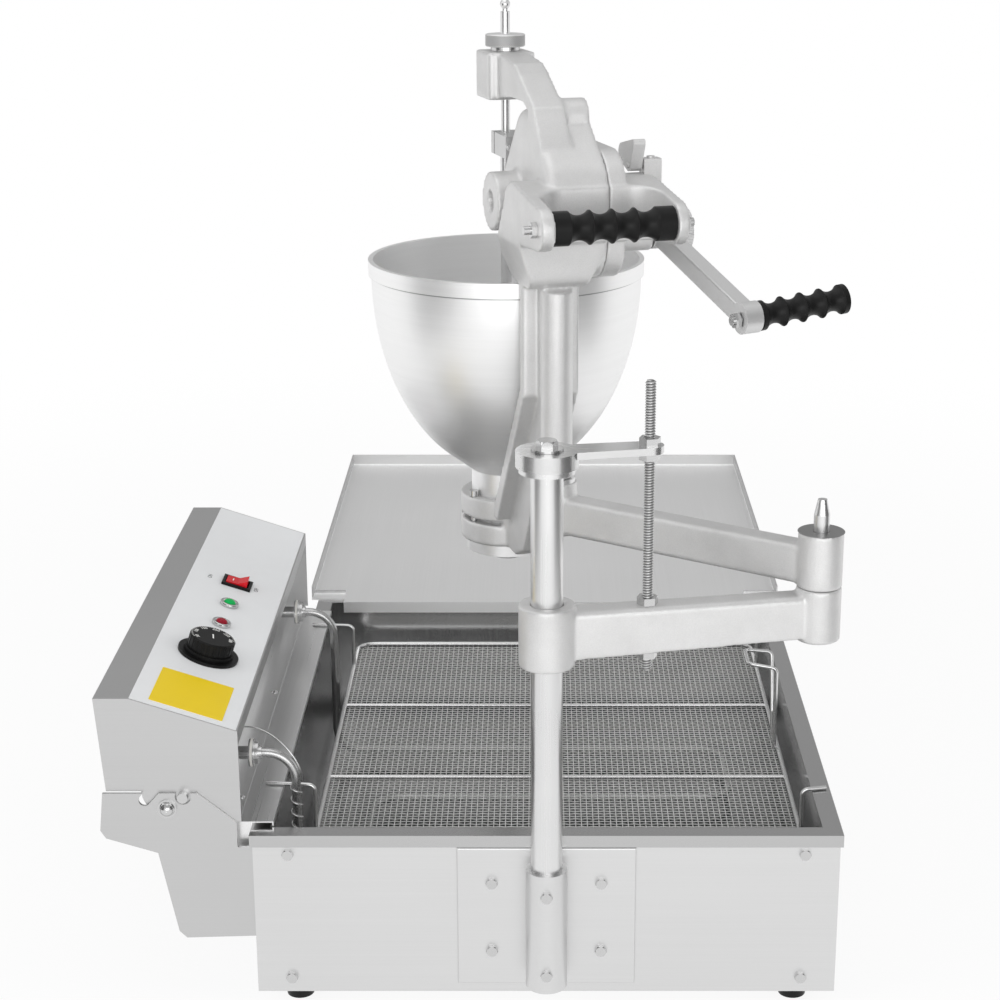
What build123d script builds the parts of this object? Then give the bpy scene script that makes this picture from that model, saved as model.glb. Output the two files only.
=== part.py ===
from build123d import *
import os
from math import acos, atan2, cos, degrees, pi, radians, sin, tan

# Donut maker: a sheet-steel oil fryer with a tilting control head, a frying screen and a drain tray,
# and a pillar with two swing arms that carry a hand-cranked batter depositor.
# Millimetres, +Z up. Everything is worked out from the middle of the tank's front edge on the floor,
# and moved at the end so that the origin is the middle of the footprint.
FOOTPRINT_MIDDLE_X = -66.0
FOOTPRINT_MIDDLE_Y = 593.0

# Clearances
RUN_CLEAR = 0.08
FIT_CLEAR = 0.05
REST_GAP = 0.2
SAFE_GAP = 0.4

# Tank
RIM_WIDTH = 556.0
RIM_DEPTH = 652.0
RIM_HEIGHT = 177.0
RIM_FLANGE = 18.0
LIP_DROP = 12.0
PAN_SHEET = 1.5
PAN_DEPTH = 139.0
CASING_SHEET = 1.5
LIP_GAP = 1.0
FRONT_SHEET = 2.0
FOOT_HEIGHT = 12.0
FOOT_DIAMETER = 30.0
FOOT_INSET_X = 38.0
FOOT_INSET_Y = 23.0
LEDGE_WIDTH = 25.0
LEDGE_UNDER = 54.0
LEDGE_RISE = 5.0
LEDGE_END_DROP = 34.0
LEDGE_SHEET = 1.2

# Hexagon fasteners: width across flats and head height for each thread
M6_THREAD = 6.0
M6_FLATS = 10.0
M6_HEAD = 4.0
M8_THREAD = 8.0
M8_FLATS = 13.0
M8_HEAD = 5.5
M10_THREAD = 10.0
M10_FLATS = 17.0
M10_HEAD = 7.0
PANEL_BOLT_INSET_X = 33.0
PANEL_BOLT_INSET_TOP = 15.0
PANEL_BOLT_INSET_LOW = 15.5

# Pillar and its bracket
PILLAR_DIAMETER = 29.0
PILLAR_TOP = 542.0
PILLAR_FLANGE_DIAMETER = 50.0
PILLAR_FLANGE_THICK = 5.0
BRACKET_WIDTH = 168.0
BRACKET_HEIGHT = 142.0
BRACKET_THICK = 4.0
BRACKET_BOLT_X = 51.5
BRACKET_BOLT_Z = 71.0
SLEEVE_WALL = 4.9
SLEEVE_HEIGHT = 121.0
SLEEVE_WELD = 1.5
SLEEVE_SCREW_SPAN = 81.0

# Swing arms
LOWER_ARM_LENGTH = 253.0
LOWER_ARM_ANGLE = 10.9
LOWER_ARM_TOP = 414.5
COLLAR_DIAMETER = 51.0
COLLAR_HEIGHT = 58.0
LOWER_ARM_ROOT_HEIGHT = 46.0
LOWER_ARM_END_HEIGHT = 40.0
LOWER_ARM_STEP = 6.0
ARM_WIDTH = 27.0
ELBOW_BOSS_DIAMETER = 41.5
ELBOW_PIN_DIAMETER = 14.5
ELBOW_PIN_STAND = 30.0
ELBOW_PIN_TIP = 8.5
ELBOW_PIN_CONE = 14.0
UPPER_ARM_LENGTH = 287.0
UPPER_ARM_ANGLE = 146.3
UPPER_BOSS_HEIGHT = 52.5
UPPER_ARM_HEIGHT = 37.0
UPPER_ARM_LIFT = 1.5
TIE_THICK = 14.4
TIE_BAR_THICK = 6.5
TIE_END_RADIUS = 27.8
TIE_BAR_WIDTH = 30.0
TIE_ROD_REACH = 92.0
TIE_ROD_DIAMETER = 10.0
TIE_ROD_TOP = 615.0
TIE_ROD_LOW = 345.0
THRUST_THICK = 4.0
SWIVEL_PIN_DIAMETER = 16.0
SWIVEL_PIN_LENGTH = 205.0

# Depositor, in its own frame: the hopper's axis is x = y = 0, and the operator stands at -y
DEPOSITOR_YAW = 17.0
COLUMN_REACH = 172.0
SOCKET_DIAMETER = 32.0
SOCKET_TOP = 656.0
COLUMN_WIDTH = 57.0
COLUMN_PLATE = 12.0
COLUMN_BACK_Y = -143.5
COLUMN_BEND_Z = 556.0
COLUMN_TOP = 690.0
RIB_WIDTH = 26.0
CLAMP_DIAMETER = 98.0
CLAMP_LOW = 359.0
CLAMP_HEIGHT = 50.0
CLAMP_SLOT = 4.5
HOPPER_RADIUS = 138.5
HOPPER_BOWL_DEPTH = 210.0
HOPPER_BAND = 17.0
HOPPER_BAND_PROUD = 3.0
HOPPER_WALL = 2.0
HOPPER_BOWL_TOP = 640.0
NECK_DIAMETER = 75.0
NECK_INSERT = 25.0
SHOULDER_RADIUS = 64.0
SHOULDER_DROP = 20.0
CYLINDER_BORE = 50.0
CYLINDER_FLANGE_DIAMETER = 86.0
CYLINDER_FLANGE_THICK = 12.5
PLUNGER_DROP = 10.0
PLUNGER_HEIGHT = 16.0
PLUNGER_STROKE = 30.0
ROD_DIAMETER = 9.0
ROD_TUBE_DIAMETER = 11.0
ROD_TOP = 903.0
BALL_DIAMETER = 10.0
GUIDE_LOW = 819.0
GUIDE_HEIGHT = 46.0
GUIDE_WIDTH = 49.0
GUIDE_ARM_WIDTH = 32.0
NUT_DIAMETER = 40.0
NUT_HEIGHT = 12.0
NUT_COLLAR_DIAMETER = 32.0
NUT_COLLAR_HEIGHT = 4.0

# Gear train between the crank and the plunger rod
GEAR_MODULE = 2.5
GEAR_TEETH = 36
PINION_TEETH = 16
GEAR_WIDTH = 14.0
GEAR_BACKLASH = 0.35
PRESSURE_ANGLE = 20.0
GEAR_AXIS_Y = -90.0
GEAR_AXIS_Z = 730.0
GEAR_LINE_ANGLE = 204.2
GEAR_MIDDLE_X = 16.0
GEAR_SHAFT_DIAMETER = 20.0
CRANK_SHAFT_DIAMETER = 16.0
HOUSING_LEFT_X = -14.0
SEAM_X = 45.0
COVER_DEPTH = 18.0
HOUSING_WALL = 6.0
GEAR_ROOM = 3.0
CASE_TOP_Y = -108.0
CASE_TOP_Z = 786.0
CASE_TOP_RADIUS = 34.0
CASE_FRONT_Y = -152.0
CASE_FRONT_Z = 745.0
CASE_FRONT_RADIUS = 41.0
BUMP_DIAMETER = 36.0
PINION_POCKET_RADIUS = 35.0
LEFT_BOSS_DIAMETER = 57.0
LEFT_BOSS_LENGTH = 28.0
BEARING_RADIUS = 18.0
BEARING_LENGTH = 37.0
BEARING_WEB_Y = -132.0
BEARING_WEB_Z = 738.0
BEARING_WEB_RADIUS = 20.0
COVER_THREAD = 5.0
COVER_BOSS = 13.0
CASE_ROUND = 8.0
RACK_DEPTH = 9.0
CLIP_LOW = 763.0
CLIP_HEIGHT = 22.0

# Grips and crank
GRIP_DIAMETER = 32.0
GRIP_LENGTH = 118.0
GRIP_PITCH = 21.5
GRIP_VALLEYS = 4
GRIP_VALLEY_DEPTH = 4.5
GRIP_BORE = 8.6
GRIP_AXIS_Y = -245.0
GRIP_AXIS_Z = 727.5
GRIP_START_X = -29.5
LEFT_EAR_THICK = 13.0
RIGHT_EAR_THICK = 10.5
EAR_RADIUS = 20.0
CRANK_RADIUS = 185.0
CRANK_DROP_ANGLE = 16.0
CRANK_ARM_HEIGHT = 19.0
CRANK_ARM_THICK = 17.0
CRANK_SPLAY = 7.0
CRANK_LUG_RADIUS = 14.5
CRANK_HUB_LENGTH = 29.0
CRANK_HUB_DIAMETER = 42.0
CRANK_HUB_THICK = 9.0
CRANK_GAP = 1.5
GRIP_CANT = 4.0
CRANK_GRIP_DIAMETER = 27.5
CRANK_GRIP_LENGTH = 89.0
CRANK_GRIP_PITCH = 20.0
CRANK_GRIP_GAP = 1.6
STOP_LEFT = 86.0
STOP_THICK = 12.0
STOP_PIN = 6.0
STOP_TAB_LENGTH = 18.0
STOP_TAB_DEPTH = 14.0
YOKE_Y = -166.0
YOKE_Z = 731.0
YOKE_RADIUS = 29.0
HAND_ROOM_CORNER = 26.0

# Control head on the left of the tank
HEAD_FRONT_Y = 12.0
HEAD_BACK_GAP = 52.0
HEAD_GAP = 8.0
HEAD_WIDTH = 132.0
HEAD_TOP = 310.0
HEAD_TOP_FLAT = 33.0
PANEL_SLOPE = 18.3
HEAD_SHEET = 1.5
PANEL_SHEET = 1.5
HEAD_WALL_LOW = 186.0
HEAD_RECESS = 24.0
HEAD_BROW = 14.0
HEAD_FLOOR_Z = 217.0
HEAD_FLOOR_INSET = 7.0
PIVOT_OUT = 76.0
PIVOT_Z = 201.0
PIVOT_EAR_RADIUS = 16.0
BRACE_THICK = 3.0
BRACE_LEFT = 140.0
BRACE_TOP = 216.0
BRACE_FLANGE = 30.0
LATCH_X = 15.0
LATCH_Z = 11.5
LATCH_DIAMETER = 10.0
NOTCH_X = -21.0
KNOB_Y = 165.0
LAMP_RED_Y = 250.0
LAMP_GREEN_Y = 308.0
SWITCH_Y = 373.0
PANEL_MIDDLE = 52.0
KNOB_DIAMETER = 46.0
KNOB_HEIGHT = 17.0
KNOB_BEVEL = 1.5
KNOB_FLUTES = 24
DIAL_DIAMETER = 61.0
DIAL_THICK = 3.0
KNOB_STEM = 6.0
LAMP_DIAMETER = 20.0
LAMP_LENS = 13.0
SWITCH_LENGTH = 32.0
SWITCH_WIDTH = 26.0
ROCKER_LENGTH = 25.0
ROCKER_WIDTH = 19.0
ROCKER_TILT = 12.0
THERMOSTAT_SIZE = 38.0
RELAY_INSET = 195.0
TERMINAL_INSET = 60.0
MAINS_GLAND_THREAD = 16.0
MAINS_GLAND_FLANGE = 24.0
ELEMENT_DIAMETER = 9.0
ELEMENT_Z = 54.0
ELEMENT_FRONT_INSET = 70.0
ELEMENT_BACK_INSET = 128.0
ELEMENT_RISER_GAP = 18.0
ELEMENT_LEFT_GAP = 72.0
ELEMENT_RIGHT_GAP = 55.0
ELEMENT_BEND = 28.0
GLAND_Z = 225.0
GLAND_DIAMETER = 27.0

# Frying screen in the tank
SCREEN_LEFT_GAP = 34.0
SCREEN_RIGHT_GAP = 10.0
SCREEN_FRONT_GAP = 14.0
SCREEN_BACK_GAP = 28.0
SCREEN_Z = 134.0
SCREEN_WIRE = 5.0
HOOK_WIRE = 4.0
MESH_THICK = 1.2
MESH_BAR = 4.0
MESH_COLUMNS = 16
MESH_ROWS = 18
HOOK_BEND = 6.0
HANDLE_SHARE = 0.46
HANDLE_LOOP = 45.0
HANDLE_REACH = 30.0
HANDLE_HEIGHT = 92.0
HOOK_FRONT_INSET = 64.0
HOOK_BACK_INSET = 71.0

# Drain tray behind the tank
TRAY_SIDE = 8.0
TRAY_GAP = 11.0
TRAY_OVERLAP = 8.0
TRAY_DEPTH = 570.0
TRAY_UPSTAND = 17.0
TRAY_SHEET = 1.5
TONGUE_GAP = 14.0
TONGUE_DROP = 12.0
TRAY_BRACKET_X = 190.0
TRAY_BRACKET_REACH = 300.0
TRAY_BRACKET_THICK = 4.0


# Basic solids by their limits
def block(x0, x1, y0, y1, z0, z1):
    return Pos((x0 + x1) / 2, (y0 + y1) / 2, (z0 + z1) / 2) * Box(x1 - x0, y1 - y0, z1 - z0)


def upright(diameter, z0, z1, x=0.0, y=0.0):
    return Pos(x, y, (z0 + z1) / 2) * Cylinder(diameter / 2, z1 - z0)


def along_x(diameter, x0, x1, y=0.0, z=0.0):
    return Pos((x0 + x1) / 2, y, z) * Rot(0, 90, 0) * Cylinder(diameter / 2, x1 - x0)


def along_y(diameter, y0, y1, x=0.0, z=0.0):
    return Pos(x, (y0 + y1) / 2, z) * Rot(90, 0, 0) * Cylinder(diameter / 2, y1 - y0)


def side_plate(profile, x0, x1):
    """A flat profile given in (y, z), carried from x0 to x1."""
    return extrude(Plane.YZ.offset(x0) * profile, x1 - x0)


def front_plate(profile, y0, y1):
    """A flat profile given in (x, z), carried from y0 to y1."""
    return extrude(Plane.XZ.offset(-y1) * profile, y1 - y0)


def outline(*points):
    return make_face(Polyline(*points, close=True))


def hull(*circles):
    """The convex outline round circles given as (x, y, radius)."""
    edges = []
    for x, y, radius in circles:
        edges += (Pos(x, y) * Circle(radius)).edges()
    return make_hull(edges)


def wire(diameter, points, radii):
    """A round bar along straight runs joined by tangent arcs."""
    path = FilletPolyline(*points, radius=radii)
    return sweep(Plane(path @ 0, z_dir=path % 0) * Circle(diameter / 2), path)


def hexagon(flats, height):
    return extrude(RegularPolygon(flats / 2, 6, major_radius=False), height)


def hex_bolt(thread, flats, head, length):
    """Head on +Z above the origin, shank below it."""
    crown = Pos(0, 0, head / 2) * Cone(flats * 0.75, flats * 0.5, head)
    bolt = hexagon(flats, head) & crown
    return bolt + Pos(0, 0, -length / 2) * Cylinder(thread / 2, length)


def hex_nut(thread, flats, height):
    return hexagon(flats, height) - Cylinder(thread / 2 + FIT_CLEAR, 4 * height)


def facing_front(shape, x, y, z):
    """Turns a +Z fastener so that its head points at the operator."""
    return Pos(x, y, z) * Rot(90, 0, 0) * shape


# Tank
rim_x = RIM_WIDTH / 2
pan_x = rim_x - RIM_FLANGE
pan_front = RIM_FLANGE
pan_back = RIM_DEPTH - RIM_FLANGE
pan_floor = RIM_HEIGHT - PAN_DEPTH
casing_x = rim_x - PAN_SHEET - LIP_GAP
panel_face = PAN_SHEET + LIP_GAP
casing_front = panel_face + FRONT_SHEET
casing_back = RIM_DEPTH - PAN_SHEET - LIP_GAP
casing_top = RIM_HEIGHT - PAN_SHEET
lip_low = RIM_HEIGHT - LIP_DROP
tray_start = RIM_DEPTH + TRAY_GAP
tray_end = tray_start + TRAY_DEPTH
tray_half = rim_x + TRAY_SIDE
tongue_half = pan_x - TONGUE_GAP
screen_left = -pan_x + SCREEN_LEFT_GAP
screen_right = pan_x - SCREEN_RIGHT_GAP
screen_front = pan_front + SCREEN_FRONT_GAP
screen_back = pan_back - SCREEN_BACK_GAP
hook_places = (screen_front + HOOK_FRONT_INSET, screen_back - HOOK_BACK_INSET)
head_length = RIM_DEPTH - HEAD_BACK_GAP - HEAD_FRONT_Y
element_front = HEAD_FRONT_Y + ELEMENT_FRONT_INSET
element_back = HEAD_FRONT_Y + head_length - ELEMENT_BACK_INSET
riser_x = -pan_x + ELEMENT_RISER_GAP
element_left = -pan_x + ELEMENT_LEFT_GAP
element_right = pan_x - ELEMENT_RIGHT_GAP


def make_casing():
    outer = block(-casing_x, casing_x, casing_front, casing_back, FOOT_HEIGHT, casing_top)
    inner = block(
        -casing_x + CASING_SHEET,
        casing_x - CASING_SHEET,
        casing_front + CASING_SHEET,
        casing_back - CASING_SHEET,
        FOOT_HEIGHT + CASING_SHEET,
        casing_top + CASING_SHEET,
    )
    casing = outer - inner
    for x, z in panel_bolt_places():
        casing -= along_y(M6_THREAD + 2 * FIT_CLEAR, casing_front - 1, casing_front + 9, x, z)
    for x, z in bracket_bolt_places():
        casing -= along_y(M6_THREAD + 2 * FIT_CLEAR, casing_front - 1, casing_front + 9, x, z)
    for x, y in foot_places():
        casing -= upright(M6_THREAD + 2 * FIT_CLEAR, 0, FOOT_HEIGHT + 9, x, y)
    return casing


def make_pan():
    bowl = block(
        -pan_x - PAN_SHEET,
        pan_x + PAN_SHEET,
        pan_front - PAN_SHEET,
        pan_back + PAN_SHEET,
        pan_floor - PAN_SHEET,
        RIM_HEIGHT,
    )
    flange = block(-rim_x, rim_x, 0, RIM_DEPTH, RIM_HEIGHT - PAN_SHEET, RIM_HEIGHT)
    lip = block(-rim_x, rim_x, 0, RIM_DEPTH, lip_low, RIM_HEIGHT)
    lip -= block(
        -rim_x + PAN_SHEET,
        rim_x - PAN_SHEET,
        PAN_SHEET,
        RIM_DEPTH - PAN_SHEET,
        lip_low - 1,
        RIM_HEIGHT + 1,
    )
    hollow = block(-pan_x, pan_x, pan_front, pan_back, pan_floor, RIM_HEIGHT + 1)
    return bowl + flange + lip - hollow


def panel_bolt_places():
    top = lip_low - PANEL_BOLT_INSET_TOP + LIP_DROP - M6_FLATS / 2
    low = FOOT_HEIGHT + PANEL_BOLT_INSET_LOW
    x = casing_x - PANEL_BOLT_INSET_X
    return [(-x, top), (x, top), (-x, low), (x, low)]


def bracket_bolt_places():
    middle = bracket_low + BRACKET_HEIGHT / 2
    places = []
    for side in (-1, 1):
        for level in (-1, 1):
            places.append((side * BRACKET_BOLT_X, middle + level * BRACKET_BOLT_Z / 2))
    return places


def foot_places():
    x = casing_x - FOOT_INSET_X
    back = RIM_DEPTH - FOOT_INSET_Y
    return [(-x, FOOT_INSET_Y), (x, FOOT_INSET_Y), (-x, back), (x, back)]


bracket_top = lip_low - REST_GAP
bracket_low = bracket_top - BRACKET_HEIGHT
bracket_face = panel_face - BRACKET_THICK
sleeve_radius = PILLAR_DIAMETER / 2 + FIT_CLEAR + SLEEVE_WALL
pillar_y = bracket_face - sleeve_radius + SLEEVE_WELD
sleeve_low = bracket_low + 10
sleeve_top = sleeve_low + SLEEVE_HEIGHT


def make_front_panel():
    panel = block(-casing_x, casing_x, panel_face, casing_front, FOOT_HEIGHT, casing_top)
    for x, z in panel_bolt_places() + bracket_bolt_places():
        panel -= along_y(M6_THREAD + 2 * FIT_CLEAR, panel_face - 1, casing_front + 1, x, z)
    return panel


def make_panel_bolts():
    bolts = []
    for x, z in panel_bolt_places():
        bolt = hex_bolt(M6_THREAD, M6_FLATS, M6_HEAD, FRONT_SHEET + CASING_SHEET + 4)
        bolts.append(facing_front(bolt, x, panel_face, z))
    return Compound(children=bolts)


def make_bracket_bolts():
    bolts = []
    for x, z in bracket_bolt_places():
        bolt = hex_bolt(M6_THREAD, M6_FLATS, M6_HEAD, BRACKET_THICK + FRONT_SHEET + CASING_SHEET + 4)
        bolts.append(facing_front(bolt, x, bracket_face, z))
    return Compound(children=bolts)


def make_feet():
    feet = []
    for x, y in foot_places():
        foot = Pos(x, y, FOOT_HEIGHT / 2) * Cone(FOOT_DIAMETER / 2 - 2, FOOT_DIAMETER / 2, FOOT_HEIGHT)
        feet.append(foot + upright(M6_THREAD, FOOT_HEIGHT, FOOT_HEIGHT + CASING_SHEET + 5, x, y))
    return Compound(children=feet)


def sleeve_screw_places():
    middle = (sleeve_low + sleeve_top) / 2
    return [middle - SLEEVE_SCREW_SPAN / 2, middle + SLEEVE_SCREW_SPAN / 2]


def make_pillar_bracket():
    half = BRACKET_WIDTH / 2
    plate = block(-half, half, bracket_face, panel_face, bracket_low, bracket_top)
    plate = fillet(plate.faces().sort_by(Axis.Y)[0].edges(), BRACKET_THICK / 3)
    for x, z in bracket_bolt_places():
        plate -= along_y(M6_THREAD + 2 * FIT_CLEAR, bracket_face - 1, panel_face + 1, x, z)
    bracket = plate + upright(2 * sleeve_radius, sleeve_low, sleeve_top, 0, pillar_y)
    bracket -= upright(PILLAR_DIAMETER + 2 * FIT_CLEAR, sleeve_low - 1, sleeve_top + 1, 0, pillar_y)
    for z in sleeve_screw_places():
        bracket -= along_y(M6_THREAD + 2 * FIT_CLEAR, pillar_y - sleeve_radius - 1, pillar_y, 0, z)
    return bracket


def make_sleeve_screws():
    screws = []
    for z in sleeve_screw_places():
        screw = hex_bolt(M6_THREAD, M6_FLATS, M6_HEAD, SLEEVE_WALL + 0.5)
        screws.append(facing_front(screw, 0, pillar_y - sleeve_radius, z))
    return Compound(children=screws)


def make_pillar():
    pillar = upright(PILLAR_DIAMETER, sleeve_low, PILLAR_TOP, 0, pillar_y)
    pillar += upright(PILLAR_FLANGE_DIAMETER, PILLAR_TOP - PILLAR_FLANGE_THICK, PILLAR_TOP, 0, pillar_y)
    pillar -= upright(M10_THREAD + 2 * FIT_CLEAR, PILLAR_TOP - 26, PILLAR_TOP + 1, 0, pillar_y)
    for z in sleeve_screw_places():
        dimple = PILLAR_DIAMETER / 2 - 1
        pillar -= along_y(M6_THREAD + 2, pillar_y - PILLAR_DIAMETER, pillar_y - dimple, 0, z)
    return pillar


def make_tie_bolt():
    washer = upright(M10_FLATS * 1.7, 0, 2)
    bolt = hex_bolt(M10_THREAD, M10_FLATS, M10_HEAD, TIE_THICK + 2 + 22)
    top = PILLAR_TOP + REST_GAP + TIE_THICK + REST_GAP
    return Pos(0, pillar_y, top) * (washer + Pos(0, 0, 2) * bolt)


def make_ledge():
    left = -rim_x - HEAD_GAP - LEDGE_UNDER
    right = -rim_x - HEAD_GAP / 2 + LEDGE_WIDTH
    top = RIM_HEIGHT + LEDGE_RISE
    front = HEAD_FRONT_Y + 8
    back = HEAD_FRONT_Y + head_length - 8
    ledge = block(left, right, front, back, RIM_HEIGHT, top)
    inner_left = left + LEDGE_SHEET
    inner_right = right - LEDGE_SHEET
    ledge -= block(inner_left, inner_right, front - 1, back + 1, RIM_HEIGHT - 1, top - LEDGE_SHEET)
    ledge -= block(left - 1, -rim_x, front - 1, back + 1, RIM_HEIGHT - 1, top - LEDGE_SHEET)
    # both ends are turned down beside the rim
    end_left = -rim_x - HEAD_GAP - 6
    end_right = min(-rim_x, -casing_x - BRACE_THICK) - SAFE_GAP
    for y0, y1 in ((front, front + LEDGE_SHEET), (back - LEDGE_SHEET, back)):
        ledge += block(end_left, end_right, y0, y1, RIM_HEIGHT - LEDGE_END_DROP, top)
    return ledge


# Control head. Its end walls hang between the two braces and turn on the pivot bolts.
head_right = -rim_x - HEAD_GAP
head_left = head_right - HEAD_WIDTH
head_wall_x = head_right - HEAD_RECESS
head_back_y = HEAD_FRONT_Y + head_length
panel_top_x = head_left + HEAD_TOP_FLAT
panel_run = head_right - panel_top_x
panel_low_z = HEAD_TOP - panel_run * tan(radians(PANEL_SLOPE))
panel_length = panel_run / cos(radians(PANEL_SLOPE))
pivot_x = -rim_x - PIVOT_OUT


def head_outline(inset):
    """The head's closed profile in (x, z), pulled in by a sheet's thickness."""
    down = inset / cos(radians(PANEL_SLOPE))
    return outline(
        (head_left + HEAD_FLOOR_INSET + inset, HEAD_FLOOR_Z + inset),
        (head_left + inset, HEAD_TOP - inset),
        (panel_top_x, HEAD_TOP - down),
        (head_right - inset, panel_low_z - down + inset * tan(radians(PANEL_SLOPE))),
        (head_right - inset, HEAD_WALL_LOW + inset),
        (head_right - inset - 12, HEAD_WALL_LOW + inset),
        (head_right - 46, HEAD_FLOOR_Z + inset),
    )


def on_panel(shape, y, along=PANEL_MIDDLE):
    """Places a shape whose +Z is the panel's outward normal, at a distance down the slope."""
    x = panel_top_x + along * cos(radians(PANEL_SLOPE))
    z = HEAD_TOP - along * sin(radians(PANEL_SLOPE))
    return Pos(x, y, z) * Rot(0, PANEL_SLOPE, 0) * shape


def panel_cuts():
    depth = 6 * PANEL_SHEET
    cuts = on_panel(Box(SWITCH_LENGTH - 4, SWITCH_WIDTH - 4, depth), SWITCH_Y)
    cuts += on_panel(Cylinder(KNOB_STEM / 2 + 2, depth), KNOB_Y)
    for y in (LAMP_RED_Y, LAMP_GREEN_Y):
        cuts += on_panel(Cylinder(LAMP_DIAMETER / 2 - 3, depth), y)
    return cuts


def make_head_housing():
    shell = front_plate(head_outline(0), HEAD_FRONT_Y, head_back_y)
    inner_front = HEAD_FRONT_Y + HEAD_SHEET
    inner_back = head_back_y - HEAD_SHEET
    shell -= front_plate(head_outline(HEAD_SHEET), inner_front, inner_back)
    # the sloped top is open: the control panel closes it
    slab = Box(panel_length + 40, head_length - 2 * HEAD_SHEET, 4 * HEAD_SHEET)
    slope = on_panel(slab, HEAD_FRONT_Y + head_length / 2, panel_length / 2)
    inner_right = head_right - HEAD_SHEET
    window = slope & block(panel_top_x, inner_right, HEAD_FRONT_Y, head_back_y, 0, HEAD_TOP + 20)
    shell -= window
    for y0, y1 in ((HEAD_FRONT_Y, inner_front), (inner_back, head_back_y)):
        ear = hull((pivot_x, PIVOT_Z, PIVOT_EAR_RADIUS), (pivot_x, HEAD_FLOOR_Z, PIVOT_EAR_RADIUS * 1.5))
        ear = front_plate(ear, y0, y1) & block(-1000, 0, y0, y1, 0, HEAD_FLOOR_Z + 8)
        shell += ear
        shell -= along_y(M8_THREAD + 2 * RUN_CLEAR, y0 - 1, y1 + 1, pivot_x, PIVOT_Z)
        shell -= along_y(M6_THREAD + 2 * FIT_CLEAR, y0 - 1, y1 + 1, pivot_x + LATCH_X, PIVOT_Z + LATCH_Z)
    # under the panel's edge the wall that holds the heater's glands stands further in
    brow = panel_low_z - HEAD_BROW
    shell -= block(head_wall_x, head_right + 1, inner_front, inner_back, HEAD_WALL_LOW - 1, brow)
    shell += block(head_wall_x - HEAD_SHEET, head_wall_x, inner_front, inner_back, HEAD_WALL_LOW + 12, brow)
    shell += block(head_wall_x - HEAD_SHEET, head_right, inner_front, inner_back, brow, brow + HEAD_SHEET)
    for y in (element_front, element_back):
        shell -= along_x(ELEMENT_DIAMETER + 4, head_wall_x - 5, head_wall_x + 5, y, GLAND_Z)
    cable_hole = MAINS_GLAND_THREAD + 2 * FIT_CLEAR
    shell -= along_y(cable_hole, inner_back - 1, head_back_y + 1, head_left + 40, HEAD_FLOOR_Z + 30)
    return shell


def make_mains_gland():
    """An empty cable gland in the rear wall of the head."""
    x = head_left + 40
    z = HEAD_FLOOR_Z + 30
    gland = along_y(MAINS_GLAND_THREAD, head_back_y - 12, head_back_y + 4, x, z)
    gland += along_y(MAINS_GLAND_FLANGE, head_back_y, head_back_y + 6, x, z)
    nose = Cone(MAINS_GLAND_FLANGE / 2 - 2, MAINS_GLAND_THREAD / 2, 14)
    gland += Pos(x, head_back_y + 13, z) * Rot(-90, 0, 0) * nose
    return gland - along_y(8, head_back_y - 20, head_back_y + 30, x, z)


def make_head_panel():
    half = head_length / 2 - HEAD_SHEET
    panel = on_panel(
        Pos(0, 0, -PANEL_SHEET / 2) * Box(panel_length + 20, 2 * half, PANEL_SHEET),
        HEAD_FRONT_Y + head_length / 2,
        panel_length / 2,
    )
    panel &= block(panel_top_x, head_right - HEAD_SHEET, HEAD_FRONT_Y, head_back_y, 0, HEAD_TOP + 20)
    return panel - panel_cuts()


def make_latch_pins():
    pins = []
    for y, turn in ((HEAD_FRONT_Y, 1), (head_back_y, -1)):
        outer = y - turn * (BRACE_THICK + 4)
        inner = y + turn * (HEAD_SHEET + 5)
        head = y - turn * REST_GAP
        x = pivot_x + LATCH_X
        z = PIVOT_Z + LATCH_Z
        pin = along_y(LATCH_DIAMETER, min(outer, head), max(outer, head), x, z)
        pins.append(pin + along_y(M6_THREAD, min(outer, inner), max(outer, inner), x, z))
    return Compound(children=pins)


brace_front_y = HEAD_FRONT_Y - SAFE_GAP - BRACE_THICK
brace_back_y = head_back_y + SAFE_GAP


def make_side_brace(y0):
    """A plate that carries one end of the control head, with a flange on the tank's side wall."""
    left = -rim_x - BRACE_LEFT
    wall = -casing_x
    profile = outline(
        (left, BRACE_TOP - 38),
        (left + 4, BRACE_TOP),
        (head_right - 40, BRACE_TOP),
        (head_right - 4, HEAD_WALL_LOW),
        (head_right - 4, lip_low - 4),
        (wall - SAFE_GAP, lip_low - 4),
        (wall - SAFE_GAP, 68),
        (-rim_x - 64, 66),
        (-rim_x - 71, 73),
        (-rim_x - 87, BRACE_TOP - 61),
        (left + 5, BRACE_TOP - 46),
    )
    plate = front_plate(profile, y0, y0 + BRACE_THICK)
    inward = y0 if y0 > RIM_DEPTH / 2 else y0 + BRACE_THICK
    step = -BRACE_FLANGE if y0 > RIM_DEPTH / 2 else BRACE_FLANGE
    plate += block(
        wall - BRACE_THICK, wall, min(inward, inward + step), max(inward, inward + step), 68, lip_low - 4
    )
    plate += block(wall - BRACE_THICK, wall, y0, y0 + BRACE_THICK, 68, lip_low - 4)
    plate -= along_y(M8_THREAD + 2 * FIT_CLEAR, y0 - 1, y0 + BRACE_THICK + 1, pivot_x, PIVOT_Z)
    latch_x = pivot_x + LATCH_X
    plate -= along_y(LATCH_DIAMETER + 5, y0 - 1, y0 + BRACE_THICK + 1, latch_x, PIVOT_Z + LATCH_Z)
    slot = hull((pivot_x + NOTCH_X, PIVOT_Z + 8, 5.5), (pivot_x + NOTCH_X + 10, BRACE_TOP + 6, 6.5))
    return plate - front_plate(slot, y0 - 1, y0 + BRACE_THICK + 1)


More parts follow.
